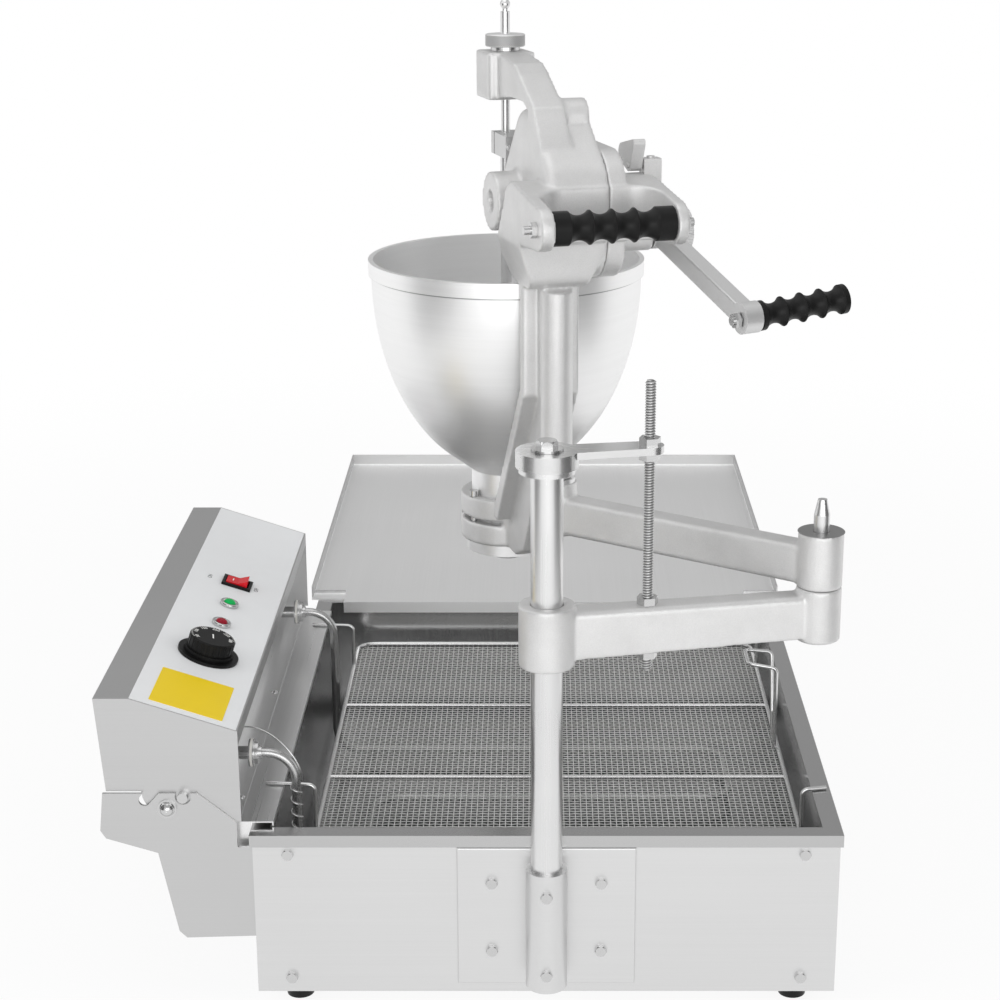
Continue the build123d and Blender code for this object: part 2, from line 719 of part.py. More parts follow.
def make_pivot_bolts():
    bolts = []
    for y, turn in ((brace_front_y, 1), (brace_back_y + BRACE_THICK, -1)):
        inner = y + turn * (BRACE_THICK + SAFE_GAP + HEAD_SHEET + 2)
        shank = along_y(M8_THREAD, min(y, inner), max(y, inner), pivot_x, PIVOT_Z)
        dome = Sphere(7.5) & block(-9, 9, -9, 9, 0, 9)
        dome += hexagon(M8_FLATS, 4) + Cylinder(9, 1.6, align=(Align.CENTER, Align.CENTER, Align.MIN))
        dome = Pos(pivot_x, y, PIVOT_Z) * Rot(90 * turn, 0, 0) * dome
        end = inner + turn * 5
        nut = along_y(M8_FLATS, min(inner, end), max(inner, end), pivot_x, PIVOT_Z)
        bolts.append(shank + dome + nut)
    return Compound(children=bolts)


def make_switch_bezel():
    body = Pos(0, 0, -14) * Box(SWITCH_LENGTH - 4.6, SWITCH_WIDTH - 4.6, 28)
    body += Pos(0, 0, 1.5) * Box(SWITCH_LENGTH, SWITCH_WIDTH, 3)
    body -= Pos(0, 0, 0) * Box(ROCKER_LENGTH + 1, ROCKER_WIDTH + 1, 20)
    return on_panel(body, SWITCH_Y)


def make_rocker():
    """The rocker leans on its pin with its -X end pressed in."""
    half = ROCKER_LENGTH / 2
    face = outline((-half + 1, -3), (half - 1, -3), (half - 1, 8.5), (1.5, 4.2), (-half + 1, 5))
    rocker = extrude(Plane.XZ * face, ROCKER_WIDTH / 2, both=True)
    pin = along_y(2, -ROCKER_WIDTH / 2 - 0.3, ROCKER_WIDTH / 2 + 0.3)
    return on_panel(Rot(0, -ROCKER_TILT / 2, 0) * (rocker + pin), SWITCH_Y)


def make_lamp(y):
    bezel = Pos(0, 0, 2) * Cylinder(LAMP_DIAMETER / 2, 4)
    stem = Pos(0, 0, -9) * Cylinder(LAMP_DIAMETER / 2 - 3.2, 18)
    lens = Pos(0, 0, 4) * (Sphere(LAMP_LENS / 2) & Pos(0, 0, 5) * Box(20, 20, 10))
    return on_panel(bezel + stem + lens, y)


def make_dial_bezel():
    ring = Pos(0, 0, DIAL_THICK / 2) * Cylinder(DIAL_DIAMETER / 2, DIAL_THICK)
    return on_panel(ring - Cylinder(KNOB_STEM / 2 + 2, 3 * DIAL_THICK), KNOB_Y)


def make_thermostat():
    body = Pos(0, 0, -PANEL_SHEET - 12) * Box(THERMOSTAT_SIZE, THERMOSTAT_SIZE, 24)
    body -= Pos(0, 0, -PANEL_SHEET - 6) * Cylinder(KNOB_STEM / 2 + RUN_CLEAR, 14)
    return on_panel(body, KNOB_Y)


def make_knob():
    low = DIAL_THICK + REST_GAP
    top = low + KNOB_HEIGHT
    reach = KNOB_DIAMETER / 2
    knob = upright(KNOB_DIAMETER + 4, low, low + 4) + upright(KNOB_DIAMETER, low, top - KNOB_BEVEL)
    knob += Pos(0, 0, top - KNOB_BEVEL / 2) * Cone(reach, reach - KNOB_BEVEL, KNOB_BEVEL)
    knob += upright(KNOB_STEM, -PANEL_SHEET - 11, low)
    for step in range(KNOB_FLUTES):
        turn = radians(step * 360 / KNOB_FLUTES)
        knob -= upright(3.2, low + 5, top + 1, (reach + 1) * cos(turn), (reach + 1) * sin(turn))
    return on_panel(knob, KNOB_Y)


def make_contactor():
    """The power relay on the head's floor."""
    x = head_left + HEAD_SHEET + 12
    z = HEAD_FLOOR_Z + HEAD_SHEET
    back = head_back_y - RELAY_INSET
    body = block(x, x + 45, back - 75, back, z, z + 52)
    body += block(x + 6, x + 39, back - 83, back + 8, z, z + 20)
    return body


def make_terminal_block():
    x = head_left + HEAD_SHEET + 12
    z = HEAD_FLOOR_Z + HEAD_SHEET
    back = head_back_y - TERMINAL_INSET
    strip = block(x, x + 22, back - 80, back, z, z + 18)
    for step in range(4):
        y = back - 10 - 20 * step
        strip -= upright(7, z + 8, z + 30, x + 11, y)
    return strip


def make_element():
    tail = head_wall_x - 22
    runs = 4
    pitch = (element_back - element_front) / (runs - 1)
    points = [(tail, element_front, GLAND_Z), (riser_x, element_front, GLAND_Z)]
    points.append((riser_x, element_front, ELEMENT_Z))
    for run in range(runs):
        y = element_front + run * pitch
        left = riser_x if run in (0, runs - 1) else element_left
        ends = [(left, y, ELEMENT_Z), (element_right, y, ELEMENT_Z)]
        if run % 2:
            ends.reverse()
        points += ends[1:] if run == 0 else ends
    points += [(riser_x, element_back, GLAND_Z), (tail, element_back, GLAND_Z)]
    return wire(ELEMENT_DIAMETER, points, ELEMENT_BEND)


def make_glands():
    glands = []
    for y in (element_front, element_back):
        flange = along_x(GLAND_DIAMETER, head_right, head_right + 5, y, GLAND_Z)
        flange += along_x(GLAND_DIAMETER - 5, head_right + 5, head_right + 9, y, GLAND_Z)
        flange += along_x(ELEMENT_DIAMETER + 3.6, head_wall_x - 6, head_right + 12, y, GLAND_Z)
        flange += along_x(GLAND_DIAMETER - 5, head_wall_x, head_wall_x + 4, y, GLAND_Z)
        inner = head_wall_x - HEAD_SHEET
        flange += along_x(GLAND_DIAMETER - 5, inner - 4, inner, y, GLAND_Z)
        flange -= along_x(ELEMENT_DIAMETER + 2 * FIT_CLEAR, head_wall_x - 30, head_right + 30, y, GLAND_Z)
        glands.append(flange)
    return Compound(children=glands)


# Frying screen: a wire frame with two cross bars over a flat net, hung on four hooks
def make_screen_frame():
    radius = SCREEN_WIRE / 2
    corner = 4 * SCREEN_WIRE
    corners = [
        (screen_left, screen_front),
        (screen_right, screen_front),
        (screen_right, screen_back),
        (screen_left, screen_back),
    ]
    loop = FilletPolyline(*corners, radius=corner, close=True)
    loop = Pos(0, 0, SCREEN_Z) * loop
    start = loop @ 0
    frame = sweep(Plane(start, z_dir=loop % 0) * Circle(radius), loop)
    depth = screen_back - screen_front
    for share in (1 / 3, 2 / 3):
        y = screen_front + depth * share
        frame += along_x(SCREEN_WIRE - 1, screen_left, screen_right, y, SCREEN_Z)
    ledge_top = RIM_HEIGHT + LEDGE_RISE
    for y in hook_places:
        level = RIM_HEIGHT + HOOK_WIRE / 2 + REST_GAP
        end = rim_x - HOOK_WIRE
        path = [(screen_right, y, SCREEN_Z), (screen_right, y, level), (end, y + 5, level)]
        frame += wire(HOOK_WIRE, path, HOOK_BEND)
        level = ledge_top + HOOK_WIRE / 2 + REST_GAP
        end = -rim_x + HOOK_WIRE
        path = [(screen_left, y, SCREEN_Z), (screen_left, y, level), (end, y + 5, level)]
        frame += wire(HOOK_WIRE, path, HOOK_BEND)
    return frame


def make_mesh():
    inset = SCREEN_WIRE / 2
    top = SCREEN_Z - SCREEN_WIRE / 2 - FIT_CLEAR
    net = block(
        screen_left + inset,
        screen_right - inset,
        screen_front + inset,
        screen_back - inset,
        top - MESH_THICK,
        top,
    )
    width = screen_right - screen_left - 2 * inset - MESH_BAR
    depth = screen_back - screen_front - 2 * inset - MESH_BAR
    pitch_x = width / MESH_COLUMNS
    pitch_y = depth / MESH_ROWS
    middle = Pos((screen_left + screen_right) / 2, (screen_front + screen_back) / 2, top - MESH_THICK)
    places = GridLocations(pitch_x, pitch_y, MESH_COLUMNS, MESH_ROWS)
    gaps = middle * places * Rectangle(pitch_x - MESH_BAR, pitch_y - MESH_BAR)
    return net - extrude(Sketch() + gaps, MESH_THICK)


def make_screen_handle():
    """The bent-wire lifting loop that stands on the right side of the frame."""
    x = screen_right - SCREEN_WIRE / 2 - HOOK_WIRE / 2 - FIT_CLEAR
    y0 = screen_front + (screen_back - screen_front) * HANDLE_SHARE
    y1 = y0 + HANDLE_LOOP
    top = SCREEN_Z + HANDLE_HEIGHT
    points = [(x, y0, SCREEN_Z), (x, y0, top), (x - HANDLE_REACH, y0 + 4, top + 4)]
    points += [(x - HANDLE_REACH, y1, top + 4), (x, y1 + 4, top), (x, y1 - 18, top - 60)]
    points.append((x, y1 - 22, SCREEN_Z))
    return wire(HOOK_WIRE, points, HOOK_BEND)


# Drain tray
def make_tray():
    half = tray_half
    low = RIM_HEIGHT + REST_GAP
    top = low + TRAY_UPSTAND
    tray = block(-half, half, tray_start, tray_end, low, top)
    inner = half - TRAY_SHEET
    tray -= block(-inner, inner, tray_start - 1, tray_end - TRAY_SHEET, low + TRAY_SHEET, top + 1)
    tongue_front = pan_back - TRAY_SHEET - 1
    tongue = tongue_half
    tray += block(-tongue, tongue, tongue_front, tray_start, low, low + TRAY_SHEET)
    tongue_back = tongue_front + TRAY_SHEET
    tray += block(-tongue, tongue, tongue_front, tongue_back, low - TONGUE_DROP, low + TRAY_SHEET)
    for side in (-1, 1):
        x = side * (half - TRAY_SHEET / 2)
        tab = block(x - TRAY_SHEET / 2, x + TRAY_SHEET / 2, tray_start - 18, tray_start, low, top)
        tray += tab
        inner = side * tongue
        ends = sorted((inner, side * half))
        # the front corners lie on the tank's rim
        tray += block(ends[0], ends[1], RIM_DEPTH - TRAY_OVERLAP, tray_start, low, low + TRAY_SHEET)
        tray += block(ends[0], ends[1], tray_start - 2, tray_start, low, low + 6)
    return tray


def make_tray_brackets():
    brackets = []
    wall = casing_back
    under = RIM_HEIGHT
    clear = RIM_DEPTH + SAFE_GAP * 4
    profile = outline(
        (wall, 80),
        (wall, lip_low - 4),
        (clear, lip_low - 4),
        (clear, under),
        (wall + TRAY_BRACKET_REACH, under),
        (wall + TRAY_BRACKET_REACH, under - 14),
    )
    for side in (-1, 1):
        x = side * TRAY_BRACKET_X
        plate = side_plate(profile, x - TRAY_BRACKET_THICK / 2, x + TRAY_BRACKET_THICK / 2)
        plate += block(x - 14, x + 14, wall, wall + TRAY_BRACKET_THICK, 80, lip_low - 4)
        plate += block(x - 14, x + 14, clear, wall + TRAY_BRACKET_REACH, under - 3, under)
        brackets.append(plate)
    return Compound(children=brackets)


# Swing arms. Each arm is drawn along its own +X and then turned to its angle in the photo.
arm_low = LOWER_ARM_TOP - COLLAR_HEIGHT
elbow_x = LOWER_ARM_LENGTH * cos(radians(LOWER_ARM_ANGLE))
elbow_y = pillar_y + LOWER_ARM_LENGTH * sin(radians(LOWER_ARM_ANGLE))
swivel_x = elbow_x + UPPER_ARM_LENGTH * cos(radians(UPPER_ARM_ANGLE))
swivel_y = elbow_y + UPPER_ARM_LENGTH * sin(radians(UPPER_ARM_ANGLE))
boss_low = LOWER_ARM_TOP + REST_GAP
boss_top = boss_low + UPPER_BOSS_HEIGHT
elbow_boss_low = LOWER_ARM_TOP - LOWER_ARM_STEP - LOWER_ARM_END_HEIGHT - 5
lower_arm_place = Pos(0, pillar_y, 0) * Rot(0, 0, LOWER_ARM_ANGLE)
upper_arm_place = Pos(elbow_x, elbow_y, 0) * Rot(0, 0, UPPER_ARM_ANGLE)


def make_lower_arm():
    top = LOWER_ARM_TOP - LOWER_ARM_STEP
    profile = outline(
        (0, top - LOWER_ARM_ROOT_HEIGHT),
        (LOWER_ARM_LENGTH, top - LOWER_ARM_END_HEIGHT),
        (LOWER_ARM_LENGTH, top),
        (0, top),
    )
    arm = front_plate(profile, -ARM_WIDTH / 2, ARM_WIDTH / 2)
    long_edges = arm.edges().filter_by(Axis.X)
    arm = fillet(long_edges, ARM_WIDTH / 5)
    arm += upright(COLLAR_DIAMETER, arm_low, LOWER_ARM_TOP)
    arm += upright(ELBOW_BOSS_DIAMETER, elbow_boss_low, LOWER_ARM_TOP, LOWER_ARM_LENGTH)
    arm -= upright(PILLAR_DIAMETER + 2 * RUN_CLEAR, arm_low - 1, LOWER_ARM_TOP + 1)
    pin_hole = ELBOW_PIN_DIAMETER + 2 * FIT_CLEAR
    arm -= upright(pin_hole, elbow_boss_low - 1, LOWER_ARM_TOP + 1, LOWER_ARM_LENGTH)
    arm -= upright(TIE_ROD_DIAMETER + 2 * FIT_CLEAR, arm_low - 5, LOWER_ARM_TOP + 5, TIE_ROD_REACH)
    return lower_arm_place * arm


def make_elbow_pin():
    top = boss_top + ELBOW_PIN_STAND
    pin = upright(ELBOW_PIN_DIAMETER, elbow_boss_low, top - ELBOW_PIN_CONE, LOWER_ARM_LENGTH)
    tip = Pos(LOWER_ARM_LENGTH, 0, top - ELBOW_PIN_CONE / 2) * Cone(
        ELBOW_PIN_DIAMETER / 2, ELBOW_PIN_TIP / 2, ELBOW_PIN_CONE
    )
    return lower_arm_place * (pin + tip)


def make_tie_plate():
    low = PILLAR_TOP + REST_GAP
    top = low + TIE_THICK
    plate = Pos(0, 0, low) * extrude(Circle(TIE_END_RADIUS), TIE_THICK)
    bar = hull((0, 0, TIE_BAR_WIDTH / 2), (TIE_ROD_REACH, 0, TIE_BAR_WIDTH * 0.42))
    plate += Pos(0, 0, top - TIE_BAR_THICK) * extrude(bar, TIE_BAR_THICK)
    plate -= upright(M10_THREAD + 2 * RUN_CLEAR, low - 1, top + 1)
    plate -= upright(TIE_ROD_DIAMETER + 2 * FIT_CLEAR, low - 1, top + 1, TIE_ROD_REACH)
    return lower_arm_place * plate


def make_tie_rod():
    return lower_arm_place * upright(TIE_ROD_DIAMETER, TIE_ROD_LOW, TIE_ROD_TOP, TIE_ROD_REACH)


def make_tie_nuts():
    """Two nuts hold the rod to the tie plate, two hold the arm to the rod."""
    plate_top = PILLAR_TOP + REST_GAP + TIE_THICK
    arm_top = LOWER_ARM_TOP - LOWER_ARM_STEP
    share = TIE_ROD_REACH / LOWER_ARM_LENGTH
    arm_under = arm_top - LOWER_ARM_ROOT_HEIGHT + share * (LOWER_ARM_ROOT_HEIGHT - LOWER_ARM_END_HEIGHT)
    nut = hex_nut(TIE_ROD_DIAMETER, M10_FLATS, M10_HEAD)
    flats = Pos(TIE_ROD_REACH, 0, 0)
    levels = [plate_top, plate_top - TIE_BAR_THICK - M10_HEAD, arm_top]
    nuts = [lower_arm_place * flats * Pos(0, 0, level) * nut for level in levels]
    tilt = degrees(atan2(LOWER_ARM_ROOT_HEIGHT - LOWER_ARM_END_HEIGHT, LOWER_ARM_LENGTH))
    corner_drop = M10_FLATS / 2 * sin(radians(tilt))
    low_nut = Pos(TIE_ROD_REACH, 0, arm_under - M10_HEAD - corner_drop - FIT_CLEAR)
    nuts.append(lower_arm_place * low_nut * nut)
    return Compound(children=nuts)


def make_upper_arm():
    low = boss_low + UPPER_ARM_LIFT
    arm = block(0, UPPER_ARM_LENGTH, -ARM_WIDTH / 2, ARM_WIDTH / 2, low, low + UPPER_ARM_HEIGHT)
    arm = fillet(arm.edges().filter_by(Axis.X), ARM_WIDTH / 5)
    arm += upright(ELBOW_BOSS_DIAMETER, boss_low, boss_top)
    arm += upright(ELBOW_BOSS_DIAMETER, boss_low, boss_top, UPPER_ARM_LENGTH)
    arm -= upright(ELBOW_PIN_DIAMETER + 2 * RUN_CLEAR, boss_low - 1, boss_top + 1)
    arm -= upright(SWIVEL_PIN_DIAMETER + 2 * FIT_CLEAR, boss_low - 1, boss_top + 1, UPPER_ARM_LENGTH)
    return upper_arm_place * arm


def make_swivel_pin():
    pin = upright(SWIVEL_PIN_DIAMETER, boss_low, boss_low + SWIVEL_PIN_LENGTH, UPPER_ARM_LENGTH)
    return upper_arm_place * pin


def make_thrust_washer():
    low = boss_top
    washer = upright(ELBOW_BOSS_DIAMETER - 4, low, low + THRUST_THICK, UPPER_ARM_LENGTH)
    pin_hole = SWIVEL_PIN_DIAMETER + 2 * FIT_CLEAR
    washer -= upright(pin_hole, low - 1, low + THRUST_THICK + 1, UPPER_ARM_LENGTH)
    return upper_arm_place * washer


# Depositor
depositor_place = Pos(
    swivel_x - COLUMN_REACH * sin(radians(DEPOSITOR_YAW)),
    swivel_y + COLUMN_REACH * cos(radians(DEPOSITOR_YAW)),
    0,
) * Rot(0, 0, DEPOSITOR_YAW)
socket_low = boss_top + THRUST_THICK + REST_GAP
clamp_top = CLAMP_LOW + CLAMP_HEIGHT
gear_radius = GEAR_MODULE * GEAR_TEETH / 2
pinion_radius = GEAR_MODULE * PINION_TEETH / 2
gear_spread = gear_radius + pinion_radius
crank_y = GEAR_AXIS_Y + gear_spread * cos(radians(GEAR_LINE_ANGLE))
crank_z = GEAR_AXIS_Z + gear_spread * sin(radians(GEAR_LINE_ANGLE))
rack_y = GEAR_AXIS_Y + gear_radius
gear_left = GEAR_MIDDLE_X - GEAR_WIDTH / 2
gear_right = GEAR_MIDDLE_X + GEAR_WIDTH / 2
cover_right = SEAM_X + COVER_DEPTH
bearing_end = cover_right + BEARING_LENGTH
column_y = -COLUMN_REACH
rib_foot_y = -CLAMP_DIAMETER / 2 + 5


def gear_room(grow):
    """The gears' room in (y, z), round the gear, the pinion and the full front."""
    return hull(
        (GEAR_AXIS_Y, GEAR_AXIS_Z, gear_radius + GEAR_MODULE + GEAR_ROOM + grow),
        (crank_y, crank_z, PINION_POCKET_RADIUS + grow),
        (CASE_FRONT_Y, CASE_FRONT_Z, CASE_FRONT_RADIUS - HOUSING_WALL + grow),
    )


def case_profile():
    """The outside of the gear case, with the dome that the guide arm grows from."""
    return hull(
        (GEAR_AXIS_Y, GEAR_AXIS_Z, gear_radius + GEAR_MODULE + GEAR_ROOM + HOUSING_WALL),
        (crank_y, crank_z, PINION_POCKET_RADIUS + HOUSING_WALL),
        (CASE_FRONT_Y, CASE_FRONT_Z, CASE_FRONT_RADIUS),
        (CASE_TOP_Y, CASE_TOP_Z, CASE_TOP_RADIUS),
    )


def rack_slot():
    return block(
        gear_left - 3,
        gear_right + 3,
        rack_y - GEAR_MODULE * 1.5,
        0,
        GEAR_AXIS_Z - 2 * gear_radius,
        GEAR_AXIS_Z + 1.4 * gear_radius,
    )


def make_column():
    half = COLUMN_WIDTH / 2
    front = COLUMN_BACK_Y - COLUMN_PLATE
    top = COLUMN_TOP
    foot = -NECK_DIAMETER / 2 - 10
    plate = outline(
        (front, top),
        (COLUMN_BACK_Y, top),
        (COLUMN_BACK_Y, COLUMN_BEND_Z),
        (foot, clamp_top),
        (foot, clamp_top - 15),
        (foot - COLUMN_PLATE, clamp_top - 15),
        (front, COLUMN_BEND_Z - COLUMN_PLATE / 2),
    )
    column = side_plate(plate, -half, half)
    rib_back = COLUMN_BACK_Y - COLUMN_PLATE / 2
    boss_edge = column_y + ELBOW_BOSS_DIAMETER / 2 + 3
    rib = outline(
        (column_y, top),
        (column_y, socket_low),
        (boss_edge, socket_low),
        (boss_edge, socket_low - 16),
        (boss_edge + 45, CLAMP_LOW + 14),
        (rib_foot_y - 28, CLAMP_LOW),
        (rib_foot_y, CLAMP_LOW),
        (rib_foot_y, clamp_top),
        (rib_back, COLUMN_BEND_Z),
        (rib_back, top),
    )
    column += side_plate(rib, -RIB_WIDTH / 2, RIB_WIDTH / 2)
    return column + upright(SOCKET_DIAMETER, socket_low, SOCKET_TOP, 0, column_y)


def make_clamp_ring():
    ring = upright(CLAMP_DIAMETER, CLAMP_LOW, clamp_top)
    middle = (CLAMP_LOW + clamp_top) / 2
    reach = CLAMP_DIAMETER / 2
    # a level slot from the left into the ring, closed by the clamp screw
    slot_low = middle - CLAMP_SLOT / 2
    ring -= block(-reach - 1, -reach * 0.35, -reach, reach * 0.2, slot_low, slot_low + CLAMP_SLOT)
    return ring


def make_guide_arm():
    """The gooseneck that rises from the top of the gear case and guides the plunger rod."""
    half = GUIDE_WIDTH / 2
    top = GUIDE_LOW + GUIDE_HEIGHT
    under = GUIDE_LOW + 7
    head = block(-half, half, -half, half, GUIDE_LOW, top)
    head = fillet(head.edges().filter_by(Axis.Z), 5)
    arm = outline(
        (-half + 6, GUIDE_LOW + 2),
        (-half + 6, top),
        (-72, top - 6),
        (-90, top - 14),
        (-139, top - 41),
        (CASE_FRONT_Y - 16, CASE_FRONT_Z + 36),
        (CASE_FRONT_Y, CASE_FRONT_Z + 5),
        (CASE_TOP_Y + 6, under - 60),
        (CASE_TOP_Y - 17, under - 22),
        (CASE_TOP_Y - 15, under - 7),
        (CASE_TOP_Y + 4, under),
        (-67, under),
    )
    return head + side_plate(arm, -GUIDE_ARM_WIDTH / 2 + 2, GUIDE_ARM_WIDTH / 2 + 2)


def make_yoke(x0, x1):
    """The part from x0 to x1 of the fork that holds the fixed grip before the gear case."""
    profile = hull((YOKE_Y, YOKE_Z, YOKE_RADIUS), (GRIP_AXIS_Y, GRIP_AXIS_Z, EAR_RADIUS))
    yoke = side_plate(profile, x0, x1)
    # room for the hand between the two ears, rounded into the wall behind it
    width = GRIP_LENGTH + 2 * FIT_CLEAR
    depth = 2 * (YOKE_Y - YOKE_RADIUS - GRIP_AXIS_Y + EAR_RADIUS)
    room = RectangleRounded(width, depth, HAND_ROOM_CORNER)
    middle_x = GRIP_START_X + GRIP_LENGTH / 2
    middle_y = YOKE_Y - YOKE_RADIUS - depth / 2
    yoke -= Pos(middle_x, middle_y, YOKE_Z - 2 * YOKE_RADIUS) * extrude(room, 4 * YOKE_RADIUS)
    return yoke - along_x(M8_THREAD + 2 * FIT_CLEAR, x0 - 1, x1 + 1, GRIP_AXIS_Y, GRIP_AXIS_Z)


def make_funnel(left):
    """The foot of the gear case, drawn in from the fork's width to the column's."""
    half = COLUMN_WIDTH / 2
    low = YOKE_Z - YOKE_RADIUS
    front_view = outline(
        (left, YOKE_Z),
        (left, low),
        (-half - 2, low - 34),
        (-half, low - 52),
        (half, low - 52),
        (half + 1.5, low - 38),
        (SEAM_X, low - 6),
        (SEAM_X, YOKE_Z),
    )
    side_view = hull(
        (YOKE_Y, YOKE_Z, YOKE_RADIUS),
        (column_y + 2, SOCKET_TOP + 18, SOCKET_DIAMETER / 2),
        (crank_y + 20, crank_z - 22, 22),
    )
    return front_plate(front_view, -2 * COLUMN_REACH, 0) & side_plate(side_view, left, SEAM_X)


def make_depositor_frame():
    case = side_plate(case_profile(), HOUSING_LEFT_X, SEAM_X)
    frame = fillet(case.faces().sort_by(Axis.X)[0].edges(), CASE_ROUND)
    frame += make_column() + make_clamp_ring() + make_guide_arm()
    yoke_left = GRIP_START_X - FIT_CLEAR - LEFT_EAR_THICK
    frame += make_yoke(yoke_left, SEAM_X) + make_funnel(yoke_left)
    boss_x = HOUSING_LEFT_X - LEFT_BOSS_LENGTH
    frame += along_x(LEFT_BOSS_DIAMETER, boss_x, HOUSING_LEFT_X + 1, GEAR_AXIS_Y, GEAR_AXIS_Z)
    bump_y = CASE_TOP_Y - 12
    bump_z = CASE_TOP_Z + CASE_TOP_RADIUS - BUMP_DIAMETER / 6
    frame += along_x(BUMP_DIAMETER, GEAR_MIDDLE_X, SEAM_X - 1, bump_y, bump_z - 2)
    # hollows and bores
    frame -= side_plate(gear_room(0), HOUSING_LEFT_X + HOUSING_WALL, SEAM_X + 1)
    frame -= rack_slot()
    frame -= along_x(GEAR_SHAFT_DIAMETER + 2 * RUN_CLEAR, boss_x - 1, SEAM_X, GEAR_AXIS_Y, GEAR_AXIS_Z)
    boss_right = HOUSING_LEFT_X + HOUSING_WALL + 8
    frame += along_x(CRANK_SHAFT_DIAMETER + 14, HOUSING_LEFT_X, boss_right, crank_y, crank_z)
    frame -= along_x(CRANK_SHAFT_DIAMETER + 2 * RUN_CLEAR, HOUSING_LEFT_X + 4, SEAM_X, crank_y, crank_z)
    pin_top = boss_low + SWIVEL_PIN_LENGTH + 1
    frame -= upright(SWIVEL_PIN_DIAMETER + 2 * RUN_CLEAR, socket_low - 1, pin_top, 0, column_y)
    frame -= upright(NECK_DIAMETER + 2 * FIT_CLEAR, CLAMP_LOW - 1, clamp_top + 1)
    frame -= upright(ROD_DIAMETER + 2 * RUN_CLEAR, GUIDE_LOW - 1, GUIDE_LOW + GUIDE_HEIGHT + 1)
    inside = side_plate(gear_room(HOUSING_WALL / 2), HOUSING_LEFT_X, SEAM_X)
    for y, z in cover_screw_places():
        frame += along_x(COVER_BOSS, HOUSING_LEFT_X + HOUSING_WALL - 1, SEAM_X, y, z) & inside
        frame -= along_x(COVER_THREAD + 2 * FIT_CLEAR, SEAM_X - 20, SEAM_X + 1, y, z)
    middle = (CLAMP_LOW + clamp_top) / 2
    frame -= upright(M6_THREAD + 2 * FIT_CLEAR, middle - 14, clamp_top + 1, *clamp_screw_place())
    return depositor_place * frame


def cover_screw_places():
    """Corners of the gear case that the gear and the pinion leave free."""
    return [
        (GEAR_AXIS_Y - 30, GEAR_AXIS_Z + gear_radius + GEAR_MODULE),
        (CASE_FRONT_Y - 8, CASE_FRONT_Z + 28),
        (GEAR_AXIS_Y - 24, GEAR_AXIS_Z - gear_radius - GEAR_MODULE - 4),
    ]


def clamp_screw_place():
    turn = radians(200)
    reach = (NECK_DIAMETER / 2 + CLAMP_DIAMETER / 2) / 2
    return reach * cos(turn), reach * sin(turn)


def make_clamp_screw():
    x, y = clamp_screw_place()
    middle = (CLAMP_LOW + clamp_top) / 2
    screw = upright(M6_THREAD, middle - 12, clamp_top, x, y)
    return depositor_place * (screw + upright(9.5, clamp_top, clamp_top + 6, x, y))


def make_gear_cover():
    cover = side_plate(gear_room(HOUSING_WALL), SEAM_X, cover_right)
    web = hull((crank_y, crank_z, BEARING_RADIUS), (BEARING_WEB_Y, BEARING_WEB_Z, BEARING_WEB_RADIUS))
    cover += side_plate(web, cover_right, bearing_end)
    cover += make_yoke(SEAM_X, GRIP_START_X + GRIP_LENGTH + FIT_CLEAR + RIGHT_EAR_THICK)
    cover -= side_plate(gear_room(0), SEAM_X - 1, cover_right - HOUSING_WALL)
    cover += along_x(GEAR_SHAFT_DIAMETER + 14, SEAM_X + 4, cover_right, GEAR_AXIS_Y, GEAR_AXIS_Z)
    shaft_hole = GEAR_SHAFT_DIAMETER + 2 * RUN_CLEAR
    cover -= along_x(shaft_hole, SEAM_X, cover_right - 3, GEAR_AXIS_Y, GEAR_AXIS_Z)
    cover -= along_x(CRANK_SHAFT_DIAMETER + 2 * RUN_CLEAR, SEAM_X - 1, bearing_end + 1, crank_y, crank_z)
    cover -= rack_slot()
    inside = side_plate(gear_room(HOUSING_WALL / 2), SEAM_X, cover_right)
    for y, z in cover_screw_places():
        cover += along_x(COVER_BOSS, SEAM_X, cover_right, y, z) & inside
        cover -= along_x(COVER_THREAD + 2 * FIT_CLEAR, SEAM_X - 1, cover_right + 1, y, z)
    return depositor_place * cover


def make_cover_screws():
    screws = []
    for y, z in cover_screw_places():
        head = along_x(COVER_THREAD * 1.7, cover_right, cover_right + COVER_THREAD, y, z)
        head -= along_x(COVER_THREAD * 0.8, cover_right + 2, cover_right + COVER_THREAD + 1, y, z)
        screws.append(depositor_place * (head + along_x(COVER_THREAD, SEAM_X - 15, cover_right, y, z)))
    return Compound(children=screws)


def bowl_solid(inset):
    """The bowl pulled in by a wall: half an upright ellipse, a shoulder and the straight neck."""
    radius = HOPPER_RADIUS - inset
    depth = HOPPER_BOWL_DEPTH - inset
    shoulder = SHOULDER_RADIUS - inset
    neck = NECK_DIAMETER / 2 - inset
    end = acos(shoulder / radius)
    steps = 6
    points = []
    for step in range(steps + 1):
        turn = end * step / steps
        points.append((radius * cos(turn), HOPPER_BOWL_TOP - depth * sin(turn)))
    curve = Spline(*points, tangents=[(0, -1), (-radius * sin(end), -depth * cos(end))])
    neck_z = points[-1][1] - SHOULDER_DROP
    low = clamp_top - NECK_INSERT - inset
    top = HOPPER_BOWL_TOP + HOPPER_BAND
    corners = [(neck, neck_z), (neck, low), (0, low), (0, top), (radius, top)]
    rest = Polyline(points[-1], *corners, points[0])
    return revolve(Plane.XZ * make_face([curve, rest]), Axis.Z)


def make_hopper():
    top = HOPPER_BOWL_TOP + HOPPER_BAND
    band = upright(2 * (HOPPER_RADIUS + HOPPER_BAND_PROUD), HOPPER_BOWL_TOP + 2, top)
    return depositor_place * (bowl_solid(0) + band - bowl_solid(HOPPER_WALL))


